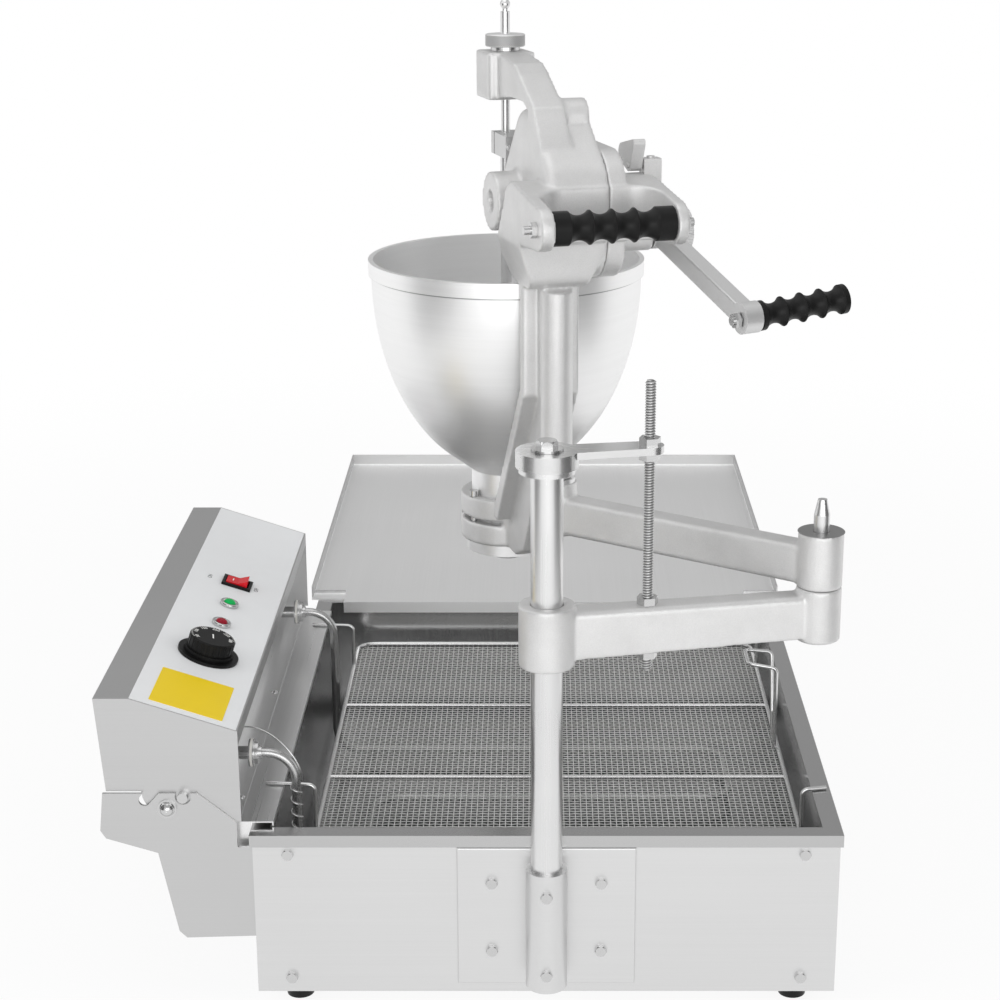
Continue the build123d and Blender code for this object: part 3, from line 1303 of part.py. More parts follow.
def make_cylinder():
    top = clamp_top - NECK_INSERT - SAFE_GAP
    low = CLAMP_LOW - REST_GAP - CYLINDER_FLANGE_THICK
    tube = upright(NECK_DIAMETER, low, top)
    tube += upright(CYLINDER_FLANGE_DIAMETER, low, CLAMP_LOW - REST_GAP)
    return depositor_place * (tube - upright(CYLINDER_BORE + 2 * RUN_CLEAR, low - 1, top + 1))


plunger_low = CLAMP_LOW - REST_GAP - CYLINDER_FLANGE_THICK - PLUNGER_DROP


def make_plunger():
    disc_low = plunger_low + PLUNGER_DROP
    disc = upright(CYLINDER_BORE, disc_low, disc_low + PLUNGER_HEIGHT)
    nose = Cone(CYLINDER_BORE / 2 - 8, CYLINDER_BORE / 2 - 1, PLUNGER_DROP)
    disc += Pos(0, 0, plunger_low + PLUNGER_DROP / 2) * nose
    rod = upright(ROD_TUBE_DIAMETER, disc_low, CLIP_LOW) + upright(ROD_DIAMETER, CLIP_LOW - 1, ROD_TOP)
    neck = upright(ROD_DIAMETER * 0.6, ROD_TOP - 1, ROD_TOP + 3)
    ball = Pos(0, 0, ROD_TOP + 3 + BALL_DIAMETER * 0.4) * Sphere(BALL_DIAMETER / 2)
    return depositor_place * (disc + rod + neck + ball)


def make_adjusting_nut():
    low = GUIDE_LOW + GUIDE_HEIGHT + REST_GAP
    collar_top = low + NUT_COLLAR_HEIGHT
    nut_top = collar_top + NUT_HEIGHT
    nut = upright(NUT_COLLAR_DIAMETER, low, collar_top) + upright(NUT_DIAMETER, collar_top, nut_top)
    for step in range(48):
        turn = radians(step * 360 / 48)
        reach = NUT_DIAMETER / 2 + 0.3
        nut -= upright(1.8, collar_top - 1, nut_top + 1, reach * cos(turn), reach * sin(turn))
    return depositor_place * (nut - upright(ROD_DIAMETER + 2 * RUN_CLEAR, low - 1, nut_top + 1))


# Gears: involute flanks on 20 degree pressure angle
def involute(angle):
    return tan(angle) - angle


def gear_profile(teeth, phase):
    """Toothed outline in the plane, one tooth centred on the phase angle."""
    pitch_radius = GEAR_MODULE * teeth / 2
    base_radius = pitch_radius * cos(radians(PRESSURE_ANGLE))
    root_radius = pitch_radius - 1.25 * GEAR_MODULE
    tip_radius = pitch_radius + GEAR_MODULE
    half_pitch = pi / (2 * teeth) - GEAR_BACKLASH / (2 * pitch_radius)
    offset = half_pitch + involute(radians(PRESSURE_ANGLE))
    start_radius = max(base_radius, root_radius + 0.1)
    flank = []
    for step in range(4):
        radius = start_radius + (tip_radius - start_radius) * step / 3
        flank.append((radius, offset - involute(acos(min(1.0, base_radius / radius)))))
    half_tooth = [(root_radius, flank[0][1])] + flank
    points = []
    for tooth in range(teeth):
        middle = phase + 2 * pi * tooth / teeth
        for radius, angle in half_tooth:
            points.append((radius * cos(middle - angle), radius * sin(middle - angle)))
        for radius, angle in reversed(half_tooth):
            points.append((radius * cos(middle + angle), radius * sin(middle + angle)))
    return outline(*points)


line_angle = radians(GEAR_LINE_ANGLE)
gear_phase = line_angle - pi / GEAR_TEETH
pinion_phase = line_angle + pi


def make_drive_gear():
    wheel = side_plate(gear_profile(GEAR_TEETH, gear_phase), gear_left, gear_right)
    gear = Pos(0, GEAR_AXIS_Y, GEAR_AXIS_Z) * wheel
    hub_left = HOUSING_LEFT_X + HOUSING_WALL + SAFE_GAP
    hub_right = SEAM_X + 4 - SAFE_GAP
    gear += along_x(GEAR_SHAFT_DIAMETER + 12, hub_left, hub_right, GEAR_AXIS_Y, GEAR_AXIS_Z)
    shaft_left = HOUSING_LEFT_X - LEFT_BOSS_LENGTH + 5
    gear += along_x(GEAR_SHAFT_DIAMETER, shaft_left, cover_right - 4, GEAR_AXIS_Y, GEAR_AXIS_Z)
    for step in range(5):
        turn = radians(72 * step)
        reach = gear_radius * 0.62
        y = GEAR_AXIS_Y + reach * cos(turn)
        z = GEAR_AXIS_Z + reach * sin(turn)
        gear -= along_x(gear_radius * 0.36, gear_left - 1, gear_right + 1, y, z)
    return depositor_place * gear


def make_lift_rack():
    """The rack that the gear lifts, with the clip that holds it to the plunger rod."""
    pitch = pi * GEAR_MODULE
    near = round(-gear_phase / (2 * pi / GEAR_TEETH))
    tooth_angle = gear_phase + near * 2 * pi / GEAR_TEETH
    gap_z = GEAR_AXIS_Z + gear_radius * tooth_angle
    back = rack_y + 1.25 * GEAR_MODULE + RACK_DEPTH
    root = rack_y + 1.25 * GEAR_MODULE
    tip = rack_y - GEAR_MODULE
    slope = tan(radians(PRESSURE_ANGLE))
    half_root = pitch / 4 - GEAR_BACKLASH / 2 + 1.25 * GEAR_MODULE * slope
    half_tip = pitch / 4 - GEAR_BACKLASH / 2 - GEAR_MODULE * slope
    below = int(PLUNGER_STROKE / pitch) + 2
    points = [(back, gap_z - (below + 0.5) * pitch), (root, gap_z - (below + 0.5) * pitch)]
    for tooth in range(-below, 2):
        middle = gap_z + (tooth + 0.5) * pitch
        points += [(root, middle - half_root), (tip, middle - half_tip)]
        points += [(tip, middle + half_tip), (root, middle + half_root)]
    top = CLIP_LOW + CLIP_HEIGHT
    points += [(root, top), (back, top)]
    rack = side_plate(outline(*points), gear_left + 1, gear_right - 1)
    clip = block(-ROD_DIAMETER - 3, gear_right - 1, root, ROD_DIAMETER + 2, CLIP_LOW, top)
    clip -= block(-ROD_DIAMETER - 4, 0, -1, 1, CLIP_LOW - 1, top + 1)
    rack += clip
    rack -= upright(ROD_DIAMETER + 2 * FIT_CLEAR, CLIP_LOW - 1, top + 1)
    screw = along_y(M6_THREAD, root - 6, ROD_DIAMETER + 6, -ROD_DIAMETER + 1, (CLIP_LOW + top) / 2)
    rack += screw & block(-40, 0, root - 7, ROD_DIAMETER + 6, CLIP_LOW, top)
    return depositor_place * rack


def make_crank_shaft():
    teeth = side_plate(gear_profile(PINION_TEETH, pinion_phase), gear_left - 1, gear_right + 1)
    shaft_left = HOUSING_LEFT_X + 5
    shaft = along_x(CRANK_SHAFT_DIAMETER, shaft_left, hub_right_x + 3, crank_y, crank_z)
    return depositor_place * (Pos(0, crank_y, crank_z) * teeth + shaft)


drop = radians(180 + CRANK_DROP_ANGLE)
hub_left_x = bearing_end + CRANK_GAP
hub_right_x = hub_left_x + CRANK_HUB_LENGTH + CRANK_HUB_THICK
arm_middle_x = hub_left_x + CRANK_ARM_THICK / 2


def crank_arm_place():
    """The arm's own frame: hub at the origin, +X along the shaft, the arm running out to -Y."""
    return Pos(arm_middle_x, crank_y, crank_z) * Rot(CRANK_DROP_ANGLE, 0, 0) * Rot(0, 0, CRANK_SPLAY)


def make_crank_arm():
    """A square bar that splays outwards from a hub with a serrated disc to a lug for the grip."""
    half = CRANK_ARM_THICK / 2
    bar = block(-half, half, -CRANK_RADIUS, 0, -CRANK_ARM_HEIGHT / 2, CRANK_ARM_HEIGHT / 2)
    bar = fillet(bar.edges().filter_by(Axis.Y), 2)
    bar += along_x(2 * CRANK_LUG_RADIUS, -half, half, -CRANK_RADIUS, 0)
    arm = crank_arm_place() * bar
    arm += along_x(CRANK_HUB_DIAMETER - 8, hub_left_x, hub_right_x, crank_y, crank_z)
    arm &= block(hub_left_x, 400, -600, 0, 0, 2000)
    disc = along_x(CRANK_HUB_DIAMETER, hub_right_x - CRANK_HUB_THICK, hub_right_x, crank_y, crank_z)
    reach = CRANK_HUB_DIAMETER / 2 + 0.4
    notches = []
    for step in range(40):
        turn = radians(9 * step)
        y = crank_y + reach * cos(turn)
        z = crank_z + reach * sin(turn)
        notches.append(along_x(2, hub_right_x - CRANK_HUB_THICK - 1, hub_right_x + 1, y, z))
    arm += disc - notches
    shaft_hole = CRANK_SHAFT_DIAMETER + 2 * FIT_CLEAR
    arm -= along_x(shaft_hole, hub_left_x - 1, hub_right_x + 1, crank_y, crank_z)
    arm -= crank_grip_place() * along_x(M8_THREAD + 2 * FIT_CLEAR, -40, 40)
    return depositor_place * arm


def crank_grip_place():
    """The grip's own frame: it starts at the lug's outer face and leans up a little."""
    return crank_arm_place() * Pos(CRANK_ARM_THICK / 2, -CRANK_RADIUS, 0) * Rot(0, -GRIP_CANT, 0)


def grip_solid(start, length, diameter, pitch):
    """A round grip with shallow finger valleys, turned about X."""
    radius = diameter / 2
    grip = along_x(diameter, start, start + length)
    ring = 1.3 * pitch / 2
    first = start + (length - (GRIP_VALLEYS - 1) * pitch) / 2
    for step in range(GRIP_VALLEYS):
        x = first + pitch * step
        grip -= Pos(x, 0, 0) * Rot(0, 90, 0) * Torus(radius + ring - GRIP_VALLEY_DEPTH, ring)
    return grip - along_x(GRIP_BORE, start - 1, start + length + 1)


def make_fixed_grip():
    grip = grip_solid(GRIP_START_X, GRIP_LENGTH, GRIP_DIAMETER, GRIP_PITCH)
    return depositor_place * Pos(0, GRIP_AXIS_Y, GRIP_AXIS_Z) * grip


def make_grip_bolt():
    left = GRIP_START_X - LEFT_EAR_THICK - FIT_CLEAR * 2
    right = GRIP_START_X + GRIP_LENGTH + RIGHT_EAR_THICK + FIT_CLEAR * 2
    bolt = along_x(M8_THREAD, left - 12, right + 10)
    bolt += Pos(left - M8_HEAD, 0, 0) * Rot(0, 90, 0) * hexagon(M8_FLATS, M8_HEAD)
    bolt += Pos(right, 0, 0) * Rot(0, 90, 0) * hexagon(M8_FLATS, M8_HEAD)
    return depositor_place * Pos(0, GRIP_AXIS_Y, GRIP_AXIS_Z) * bolt


def make_crank_bolt():
    cant = radians(GRIP_CANT)
    lug = CRANK_ARM_THICK / cos(cant) + M8_FLATS * tan(cant)
    end = CRANK_GRIP_GAP + CRANK_GRIP_LENGTH + 0.6
    bolt = along_x(M8_THREAD, -lug - 8, end)
    bolt += Pos(-lug - M8_HEAD, 0, 0) * Rot(0, 90, 0) * hexagon(M8_FLATS, M8_HEAD)
    bolt += along_x(M8_FLATS, end, end + 3)
    return depositor_place * crank_grip_place() * bolt


def make_crank_grip():
    grip = grip_solid(CRANK_GRIP_GAP, CRANK_GRIP_LENGTH, CRANK_GRIP_DIAMETER, CRANK_GRIP_PITCH)
    return depositor_place * crank_grip_place() * grip


stop_y = BEARING_WEB_Y + 4
stop_z = BEARING_WEB_Z + BEARING_WEB_RADIUS + 7


def make_stop_lever():
    """A hinged thumb lever on the crank bearing that holds the crank up."""
    profile = hull((stop_y, stop_z, 6), (stop_y - 12, stop_z + 22, 4), (stop_y + 20, stop_z + 10, 9))
    lever = side_plate(profile, STOP_LEFT, STOP_LEFT + STOP_THICK)
    bore = along_x(STOP_PIN + 2 * RUN_CLEAR, STOP_LEFT - 1, STOP_LEFT + STOP_THICK + 1, stop_y, stop_z)
    return depositor_place * (lever - bore)


def make_stop_tab():
    """A block on the end of the crank bearing with the lever's pivot pin."""
    right = bearing_end + STOP_TAB_LENGTH
    front = stop_y - STOP_TAB_DEPTH / 2
    tab = block(bearing_end, right, front, front + STOP_TAB_DEPTH, BEARING_WEB_Z + 4, stop_z + 6)
    tab += along_x(STOP_PIN, STOP_LEFT - 2, bearing_end + 1, stop_y, stop_z)
    tab += upright(8, stop_z + 6, stop_z + 8, (bearing_end + right) / 2, stop_y)
    return depositor_place * tab


PARTS = {
    "fryer_casing": make_casing,
    "oil_pan": make_pan,
    "front_panel": make_front_panel,
    "panel_bolts": make_panel_bolts,
    "rubber_feet": make_feet,
    "pillar_bracket": make_pillar_bracket,
    "bracket_bolts": make_bracket_bolts,
    "sleeve_screws": make_sleeve_screws,
    "pillar": make_pillar,
    "tie_bolt": make_tie_bolt,
    "splash_ledge": make_ledge,
    "side_brace_front": lambda: make_side_brace(brace_front_y),
    "side_brace_rear": lambda: make_side_brace(brace_back_y),
    "pivot_bolts": make_pivot_bolts,
    "tray_brackets": make_tray_brackets,
    "head_housing": make_head_housing,
    "head_panel": make_head_panel,
    "latch_pins": make_latch_pins,
    "mains_gland": make_mains_gland,
    "switch_bezel": make_switch_bezel,
    "switch_rocker": make_rocker,
    "lamp_green": lambda: make_lamp(LAMP_GREEN_Y),
    "lamp_red": lambda: make_lamp(LAMP_RED_Y),
    "dial_bezel": make_dial_bezel,
    "thermostat_body": make_thermostat,
    "thermostat_knob": make_knob,
    "power_relay": make_contactor,
    "terminal_block": make_terminal_block,
    "heating_element": make_element,
    "element_glands": make_glands,
    "screen_frame": make_screen_frame,
    "screen_mesh": make_mesh,
    "screen_handle": make_screen_handle,
    "drain_tray": make_tray,
    "lower_arm": make_lower_arm,
    "elbow_pin": make_elbow_pin,
    "tie_plate": make_tie_plate,
    "tie_rod": make_tie_rod,
    "tie_nuts": make_tie_nuts,
    "upper_arm": make_upper_arm,
    "swivel_pin": make_swivel_pin,
    "thrust_washer": make_thrust_washer,
    "depositor_frame": make_depositor_frame,
    "gear_cover": make_gear_cover,
    "cover_screws": make_cover_screws,
    "clamp_screw": make_clamp_screw,
    "hopper": make_hopper,
    "dosing_cylinder": make_cylinder,
    "fixed_grip": make_fixed_grip,
    "grip_bolt": make_grip_bolt,
    "stop_lever": make_stop_lever,
    "stop_tab": make_stop_tab,
    "plunger": make_plunger,
    "lift_rack": make_lift_rack,
    "adjusting_nut": make_adjusting_nut,
    "drive_gear": make_drive_gear,
    "crank_shaft": make_crank_shaft,
    "crank_arm": make_crank_arm,
    "crank_bolt": make_crank_bolt,
    "crank_grip": make_crank_grip,
}

os.makedirs("parts", exist_ok=True)
to_middle = Pos(-FOOTPRINT_MIDDLE_X, -FOOTPRINT_MIDDLE_Y, 0)
for name, make in PARTS.items():
    export_step(to_middle * make(), f"parts/{name}.step")
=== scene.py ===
# %% [markdown]
# # A donut maker with a swing-arm depositor, dressed for its picture
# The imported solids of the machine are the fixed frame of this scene. Each step below either gives
# one of those solids its finish or puts a finer surface in its place. Everything is in metres, +Z
# is up, and the operator stands at -Y.

# %% Load the frame
from math import cos, pi, radians, sin

import bmesh
import bpy
import numpy as np
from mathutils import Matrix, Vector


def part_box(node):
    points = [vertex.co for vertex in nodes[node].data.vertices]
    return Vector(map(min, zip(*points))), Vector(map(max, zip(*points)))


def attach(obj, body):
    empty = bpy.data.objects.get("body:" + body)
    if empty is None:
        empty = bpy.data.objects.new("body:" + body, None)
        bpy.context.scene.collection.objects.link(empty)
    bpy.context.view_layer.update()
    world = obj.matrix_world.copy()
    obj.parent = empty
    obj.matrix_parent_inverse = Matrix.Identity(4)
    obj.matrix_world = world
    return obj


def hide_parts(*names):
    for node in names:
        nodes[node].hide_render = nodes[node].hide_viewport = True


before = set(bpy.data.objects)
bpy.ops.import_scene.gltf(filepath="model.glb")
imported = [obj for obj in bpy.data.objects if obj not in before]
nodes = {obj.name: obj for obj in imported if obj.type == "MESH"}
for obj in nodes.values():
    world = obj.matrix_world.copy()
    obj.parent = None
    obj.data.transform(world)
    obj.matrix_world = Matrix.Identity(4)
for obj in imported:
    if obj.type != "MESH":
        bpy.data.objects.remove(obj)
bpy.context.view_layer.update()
MM = 0.001
print("solids in the frame:", len(nodes))

# %% [markdown]
# ## From arrays to meshes
# Every new piece is a grid of points, worked out as whole arrays from a formula in two
# parameters. One function turns any such grid into quads. A grid can close on itself in either
# direction, as a tube does, and its open ends can be capped with one face each.

# %% Grids of points become meshes
SAME_POINT = 1e-7


def quads(rows, columns, wrap_rows=False, wrap_columns=False):
    """Corner numbers of each cell of a rows x columns grid, wrapped where the surface closes."""
    i, j = np.meshgrid(
        np.arange(rows if wrap_rows else rows - 1),
        np.arange(columns if wrap_columns else columns - 1),
        indexing="ij",
    )
    down, right = (i + 1) % rows, (j + 1) % columns
    corners = (i * columns + j, down * columns + j, down * columns + right, i * columns + right)
    return np.stack(corners, axis=-1).reshape(-1, 4)


def grid_faces(rows, columns, wrap_rows=False, wrap_columns=False, capped=False):
    """The quads of a grid, and with capped a face over each end of a tube."""
    faces = quads(rows, columns, wrap_rows, wrap_columns).tolist()
    if capped:
        faces.append(list(range(columns)))
        faces.append(list(range((rows - 1) * columns, rows * columns)))
    return faces


def linked(name, data):
    """A new object that holds the data, in the scene."""
    made = bpy.data.objects.new(name, data)
    bpy.context.collection.objects.link(made)
    return made


def weld(mesh, distance, outwards=False):
    """Joins points that lie closer than the distance, and with outwards turns all faces out."""
    shell = bmesh.new()
    shell.from_mesh(mesh)
    bmesh.ops.remove_doubles(shell, verts=shell.verts, dist=distance)
    if outwards:
        bmesh.ops.recalc_face_normals(shell, faces=shell.faces)
    shell.to_mesh(mesh)
    shell.free()


def evaluated_mesh(piece):
    """A new mesh of an object as its modifiers or its font leave it."""
    graph = bpy.context.evaluated_depsgraph_get()
    return bpy.data.meshes.new_from_object(piece.evaluated_get(graph))


def new_piece(name, points, faces, smooth=True, tone=None):
    """A mesh object at the origin, its place in its vertices, its faces turned outwards."""
    mesh = bpy.data.meshes.new(name)
    mesh.from_pydata(np.asarray(points).reshape(-1, 3).tolist(), [], faces)
    if tone is not None:
        mesh.attributes.new("tone", "FLOAT", "POINT").data.foreach_set("value", np.ravel(tone))
    weld(mesh, SAME_POINT, outwards=True)
    if smooth:
        mesh.shade_smooth()
    else:
        mesh.shade_flat()
    return linked(name, mesh)


# %% Turned shapes, tubes and slabs
def at(spot):
    """A function that moves points to a spot."""
    return lambda points: points + np.asarray(spot, float)


def lathe(profile, place, around=48, ring=False):
    """A profile of (radius, height) turned about +Z: (r cos a, r sin a, h), then put in place.

    The ends of the profile are capped. With ring they are joined, which leaves the middle open.
    """
    profile = np.asarray(profile, float)
    turn = np.linspace(0, 2 * pi, around, endpoint=False)
    r, h = profile[:, 0, None], profile[:, 1, None]
    points = np.stack([r * np.cos(turn), r * np.sin(turn), h + 0 * turn], axis=-1)
    faces = grid_faces(len(profile), around, wrap_rows=ring, wrap_columns=True, capped=not ring)
    return place(points).reshape(-1, 3), faces


def tube(path, radius, sides):
    """A ring of points carried along a path, square to it: p + radius (u cos a + v sin a)."""
    path = np.asarray(path, float)
    ahead = np.gradient(path, axis=0)
    ahead /= np.linalg.norm(ahead, axis=1)[:, None]
    least = np.eye(3)[np.argmin(np.abs(ahead).max(axis=0))]
    u = np.cross(ahead, least)
    u /= np.linalg.norm(u, axis=1)[:, None]
    v = np.cross(ahead, u)
    turn = np.linspace(0, 2 * pi, sides, endpoint=False)[None, :, None]
    ring = u[:, None] * np.cos(turn) + v[:, None] * np.sin(turn)
    points = path[:, None] + radius * ring
    return points, grid_faces(len(path), sides, wrap_columns=True, capped=True)


def slab(outline, low, high):
    """A loop of (x, y) points at a low and a high level, joined and capped at both."""
    x, y = np.asarray(outline, float).T
    level = np.array([low, high])[:, None]
    points = np.stack([x + 0 * level, y + 0 * level, level + 0 * x], axis=-1)
    return points.reshape(-1, 3), grid_faces(2, len(x), wrap_columns=True, capped=True)


def joined(shapes):
    """Several (points, faces) shapes as one."""
    points, faces, count = [], [], 0
    for some, cells in shapes:
        points.append(some)
        faces += [[corner + count for corner in cell] for cell in cells]
        count += len(some)
    return np.concatenate(points), faces


def box_middle(node):
    """The middle, the low corner and the high corner of a solid's box."""
    low, high = (np.array(c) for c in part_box(node))
    return (low + high) / 2, low, high


# %% [markdown]
# ## Shader maths that reads like arithmetic
# A finish is a Principled shader whose inputs vary over the surface. To keep the formulas short,
# a small class wraps a socket so that +, - and * on it add the Math nodes, and one function makes
# any other node from its type, its settings and what goes into its sockets.


# %% A socket that can be calculated with
def shader_node(tree, kind, settings=None, sockets=None):
    """A node with its settings, and on each named input a number or a link from a socket."""
    made = tree.nodes.new("ShaderNode" + kind)
    for key, setting in (settings or {}).items():
        setattr(made, key, setting)
    for key, given in (sockets or {}).items():
        if isinstance(given, bpy.types.NodeSocket):
            tree.links.new(given, made.inputs[key])
        else:
            made.inputs[key].default_value = given
    return made


def ramp(tree, value, start, end, low, high, kind="LINEAR"):
    """A number that goes from low to high as the value goes from start to end."""
    sockets = {"Value": value, "From Min": start, "From Max": end, "To Min": low, "To Max": high}
    return shader_node(tree, "MapRange", {"interpolation_type": kind}, sockets).outputs[0]


class Value:
    """One number that changes over a surface."""

    def __init__(self, finish, socket):
        self.finish, self.socket = finish, socket

    def _with(self, operation, *others):
        return self.finish.node("Math", {"operation": operation}, dict(enumerate(others)))

    def __add__(self, other):
        return self._with("ADD", self, other)

    def __sub__(self, other):
        return self._with("SUBTRACT", self, other)

    def __rsub__(self, other):
        return self._with("SUBTRACT", other, self)

    def __mul__(self, other):
        return self._with("MULTIPLY", self, other)

    def above(self, level, soft):
        """0 below the level, 1 above it, with a soft step between."""
        step = (level - soft, level + soft, 0.0, 1.0, "SMOOTHSTEP")
        return Value(self.finish, ramp(self.finish.tree, self.socket, *step))

    __radd__ = __add__


class Finish:
    """A Principled material with fixed numbers on its sockets and a few that vary."""

    def __init__(self, name, **fixed):
        self.material = bpy.data.materials.new(name)
        self.material.use_nodes = True
        self.tree = self.material.node_tree
        self.shader = self.tree.nodes["Principled BSDF"]
        for socket, number in fixed.items():
            self.shader.inputs[socket.replace("_", " ")].default_value = number

    def node(self, kind, settings=None, sockets=None, output=0):
        """Any node of this material, as the Value of one of its outputs."""
        plain = {
            key: given.socket if isinstance(given, Value) else given
            for key, given in (sockets or {}).items()
        }
        return Value(self, shader_node(self.tree, kind, settings, plain).outputs[output])

    def feed(self, **links):
        """Links values to inputs of the shader."""
        for socket, value in links.items():
            self.tree.links.new(value.socket, self.shader.inputs[socket.replace("_", " ")])
        return self

    def along(self, axis):
        """The surface's own X, Y or Z in metres."""
        spot = self.node("TexCoord", output="Object")
        return self.node("SeparateXYZ", None, {0: spot}, output=axis)

    def noise(self, scale, stretch=(1, 1, 1), detail=2.0, roughness=0.5):
        """Noise of that many cells per metre, drawn out where the stretch is small."""
        spot = self.node("TexCoord", output="Object")
        spot = self.node("Mapping", None, {"Vector": spot, "Scale": stretch})
        sockets = {"Vector": spot, "Scale": scale, "Detail": detail, "Roughness": roughness}
        return self.node("TexNoise", None, sockets)

    def mix(self, share, low, high):
        """A colour that goes from low to high as the share goes from 0 to 1."""
        settings = {"data_type": "RGBA", "clamp_factor": True}
        # sockets 6 and 7 are the two colours of a Mix node, and output 2 is the mixed colour
        return self.node("Mix", settings, {0: share, 6: low, 7: high}, output=2)

    def bump(self, height, depth, strength):
        """A normal tilted as by a relief of that depth."""
        return self.node("Bump", None, {"Height": height, "Distance": depth, "Strength": strength})


def grey(level, warm=0.0):
    """A grey of that linear level, a little warmer or cooler."""
    return (level * (1 + warm), level, level * (1 - warm), 1.0)


# %% Finishes on solids and on new pieces
def wear(node_names, finish):
    """Puts a finish on solids of the frame."""
    for name in node_names:
        nodes[name].data.materials.clear()
        nodes[name].data.materials.append(finish.material)


def dress(piece, finish, body, slot, *replaced):
    """Gives a new piece its finish, its body and the solids it stands for."""
    piece.data.materials.clear()
    piece.data.materials.append(finish.material)
    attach(piece, body)
    if replaced:
        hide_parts(*replaced)
    print(piece.name, "faces:", len(piece.data.polygons))
    return piece


# %% [markdown]
# ## Brushed stainless sheet
# The tank, its front plates and the control head are folded from stainless sheet with a fine
# brushed grain. A photo texture could show the grain, but it would stretch at each fold. Noise
# drawn out along one axis makes the same hairlines at any size. It drives the roughness and, with
# a slow cloud, the colour, which is what makes a flat sheet look like metal.

# %% Brushed sheet, with the grain along a chosen axis
GRAIN = {"x": (4, 700, 700), "y": (700, 4, 700), "z": (700, 700, 4)}
WALL_SHADE, WALL_SOFT = 0.66, 1 * MM


def brushed(name, level, rough, axis, cloud=0.06, wall=None):
    """Hairs along one axis under slow clouds, and painted shade above the height called wall."""
    sheet = Finish(name, Metallic=1.0)
    hairs = sheet.noise(1.0, GRAIN[axis], detail=3.0)
    slow = sheet.noise(3.5, detail=2.0)
    tone = hairs * 0.45 + slow * 0.55
    colour = sheet.mix(tone, grey(level * (1 - cloud)), grey(level * (1 + cloud)))
    if wall is not None:
        # painted shade: above the height called wall the colour is mixed toward a darker grey
        wall_shade_mask = sheet.along(2).above(wall, WALL_SOFT)
        colour = sheet.mix(wall_shade_mask, colour, grey(level * WALL_SHADE))
    return sheet.feed(Base_Color=colour, Roughness=rough - 0.08 + hairs * 0.10 + slow * 0.06)


# %% The tank's polished walls, with painted shade on its floor and along its rim
TANK_FLOOR, TANK_RIM = (corner.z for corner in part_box("oil_pan"))
FLOOR_SHADE_HEIGHT, FLOOR_SHADE_SOFT = 15 * MM, 10 * MM
RIM_SHADE_HEIGHT, RIM_SHADE_SOFT = 17 * MM, 2 * MM


def tank_metal(name, level, rough):
    """Sheet polished upright on the walls, with painted shade darkening the floor and the rim."""
    sheet = Finish(name, Metallic=1.0)
    hairs = sheet.noise(1.0, GRAIN["z"], detail=3.0)
    slow = sheet.noise(7.0, detail=3.0)
    # painted shade under the screen: the floor is darker up to a small height
    above_floor_shade = sheet.along(2).above(TANK_FLOOR + FLOOR_SHADE_HEIGHT, FLOOR_SHADE_SOFT)
    wall = sheet.mix(hairs * 0.4 + slow * 0.6, grey(level * 0.82), grey(level * 1.15))
    painted_floor_shade = sheet.mix(slow, grey(level * 0.22), grey(level * 0.34))
    # painted shade along the rim: the top of the walls is darker
    rim = sheet.along(2).above(TANK_RIM - RIM_SHADE_HEIGHT, RIM_SHADE_SOFT)
    colour = sheet.mix(rim, sheet.mix(above_floor_shade, painted_floor_shade, wall), grey(level * 0.80))
    return sheet.feed(Base_Color=colour, Roughness=rough - 0.05 + hairs * 0.08 + slow * 0.05)


# %% Sheet finishes put on
# the tray's walls above this height are given painted shade
TRAY_WALL_HEIGHT = 14 * MM
tray_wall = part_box("drain_tray")[1].z - TRAY_WALL_HEIGHT
front_sheet = brushed("brushed_front_sheet", 0.70, 0.36, "x")
sheet_x = brushed("brushed_sheet_along_x", 0.58, 0.33, "x")
ledge_sheet = brushed("brushed_sheet_along_y", 0.88, 0.30, "y", 0.12)
tank_sheet = tank_metal("polished_tank_sheet", 0.68, 0.17)
tray_sheet = brushed("dull_tray_sheet", 0.97, 0.48, "y", wall=tray_wall)
wear(["fryer_casing", "front_panel", "pillar_bracket"], front_sheet)
wear(["head_housing", "side_brace_front", "side_brace_rear"], sheet_x)
wear(["splash_ledge", "tray_brackets"], ledge_sheet)
wear(["oil_pan"], tank_sheet)
wear(["drain_tray"], tray_sheet)
print("tank floor and rim at", round(TANK_FLOOR, 4), round(TANK_RIM, 4))

# %% [markdown]
# ## Cast aluminium
# The swing arms, the depositor and its gear cover are sand castings, blasted to a pale matt skin
# with a fine sparkle. Two noises do it: one at the size of the sand grains for bump and sparkle,
# one at the size of a thumb for the soft patches of tone.


# %% Cast and machined aluminium
def cast_skin(name, level, rough):
    """Sand grains that roughen and lighten the metal, over soft patches."""
    skin = Finish(name, Metallic=0.7)
    grains = skin.noise(900.0, detail=3.0, roughness=0.7)
    patches = skin.noise(26.0, detail=4.0, roughness=0.6)
    tone = grains * 0.5 + patches * 0.5
    colour = skin.mix(tone, grey(level * 0.74, 0.003), grey(level * 1.20, 0.003))
    bumps = skin.bump(grains + patches * 0.3, 0.4 * MM, 0.6)
    return skin.feed(Base_Color=colour, Roughness=rough - 0.08 + grains * 0.16, Normal=bumps)


casting = cast_skin("blasted_aluminium_casting", 0.71, 0.44)
machined = brushed("machined_aluminium_bar", 0.74, 0.46, "y")
print("casting finish:", casting.material.name)

# %% [markdown]
# The hopper is spun from sheet on a lathe, so its grain runs in rings about its axis. Feeding the
# noise mostly with the height, and a little with the place round the axis, gives rings that break
# up as turned lines do.

# %% The spun hopper's ringed grain
BAND_HEIGHT = 15 * MM
BOWL_LIP = 4 * MM
SHADOW_LINE_WIDTH, SHADOW_LINE_SOFT = 1.6 * MM, 0.4 * MM
OUTSIDE_SOFT = 0.0001
bowl_low, bowl_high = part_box("hopper")
band_low = bowl_high.z - BAND_HEIGHT
bowl_axis = ((bowl_low.x + bowl_high.x) / 2, (bowl_low.y + bowl_high.y) / 2)
bowl_radius = (bowl_high.x - bowl_low.x) / 2 - BOWL_LIP


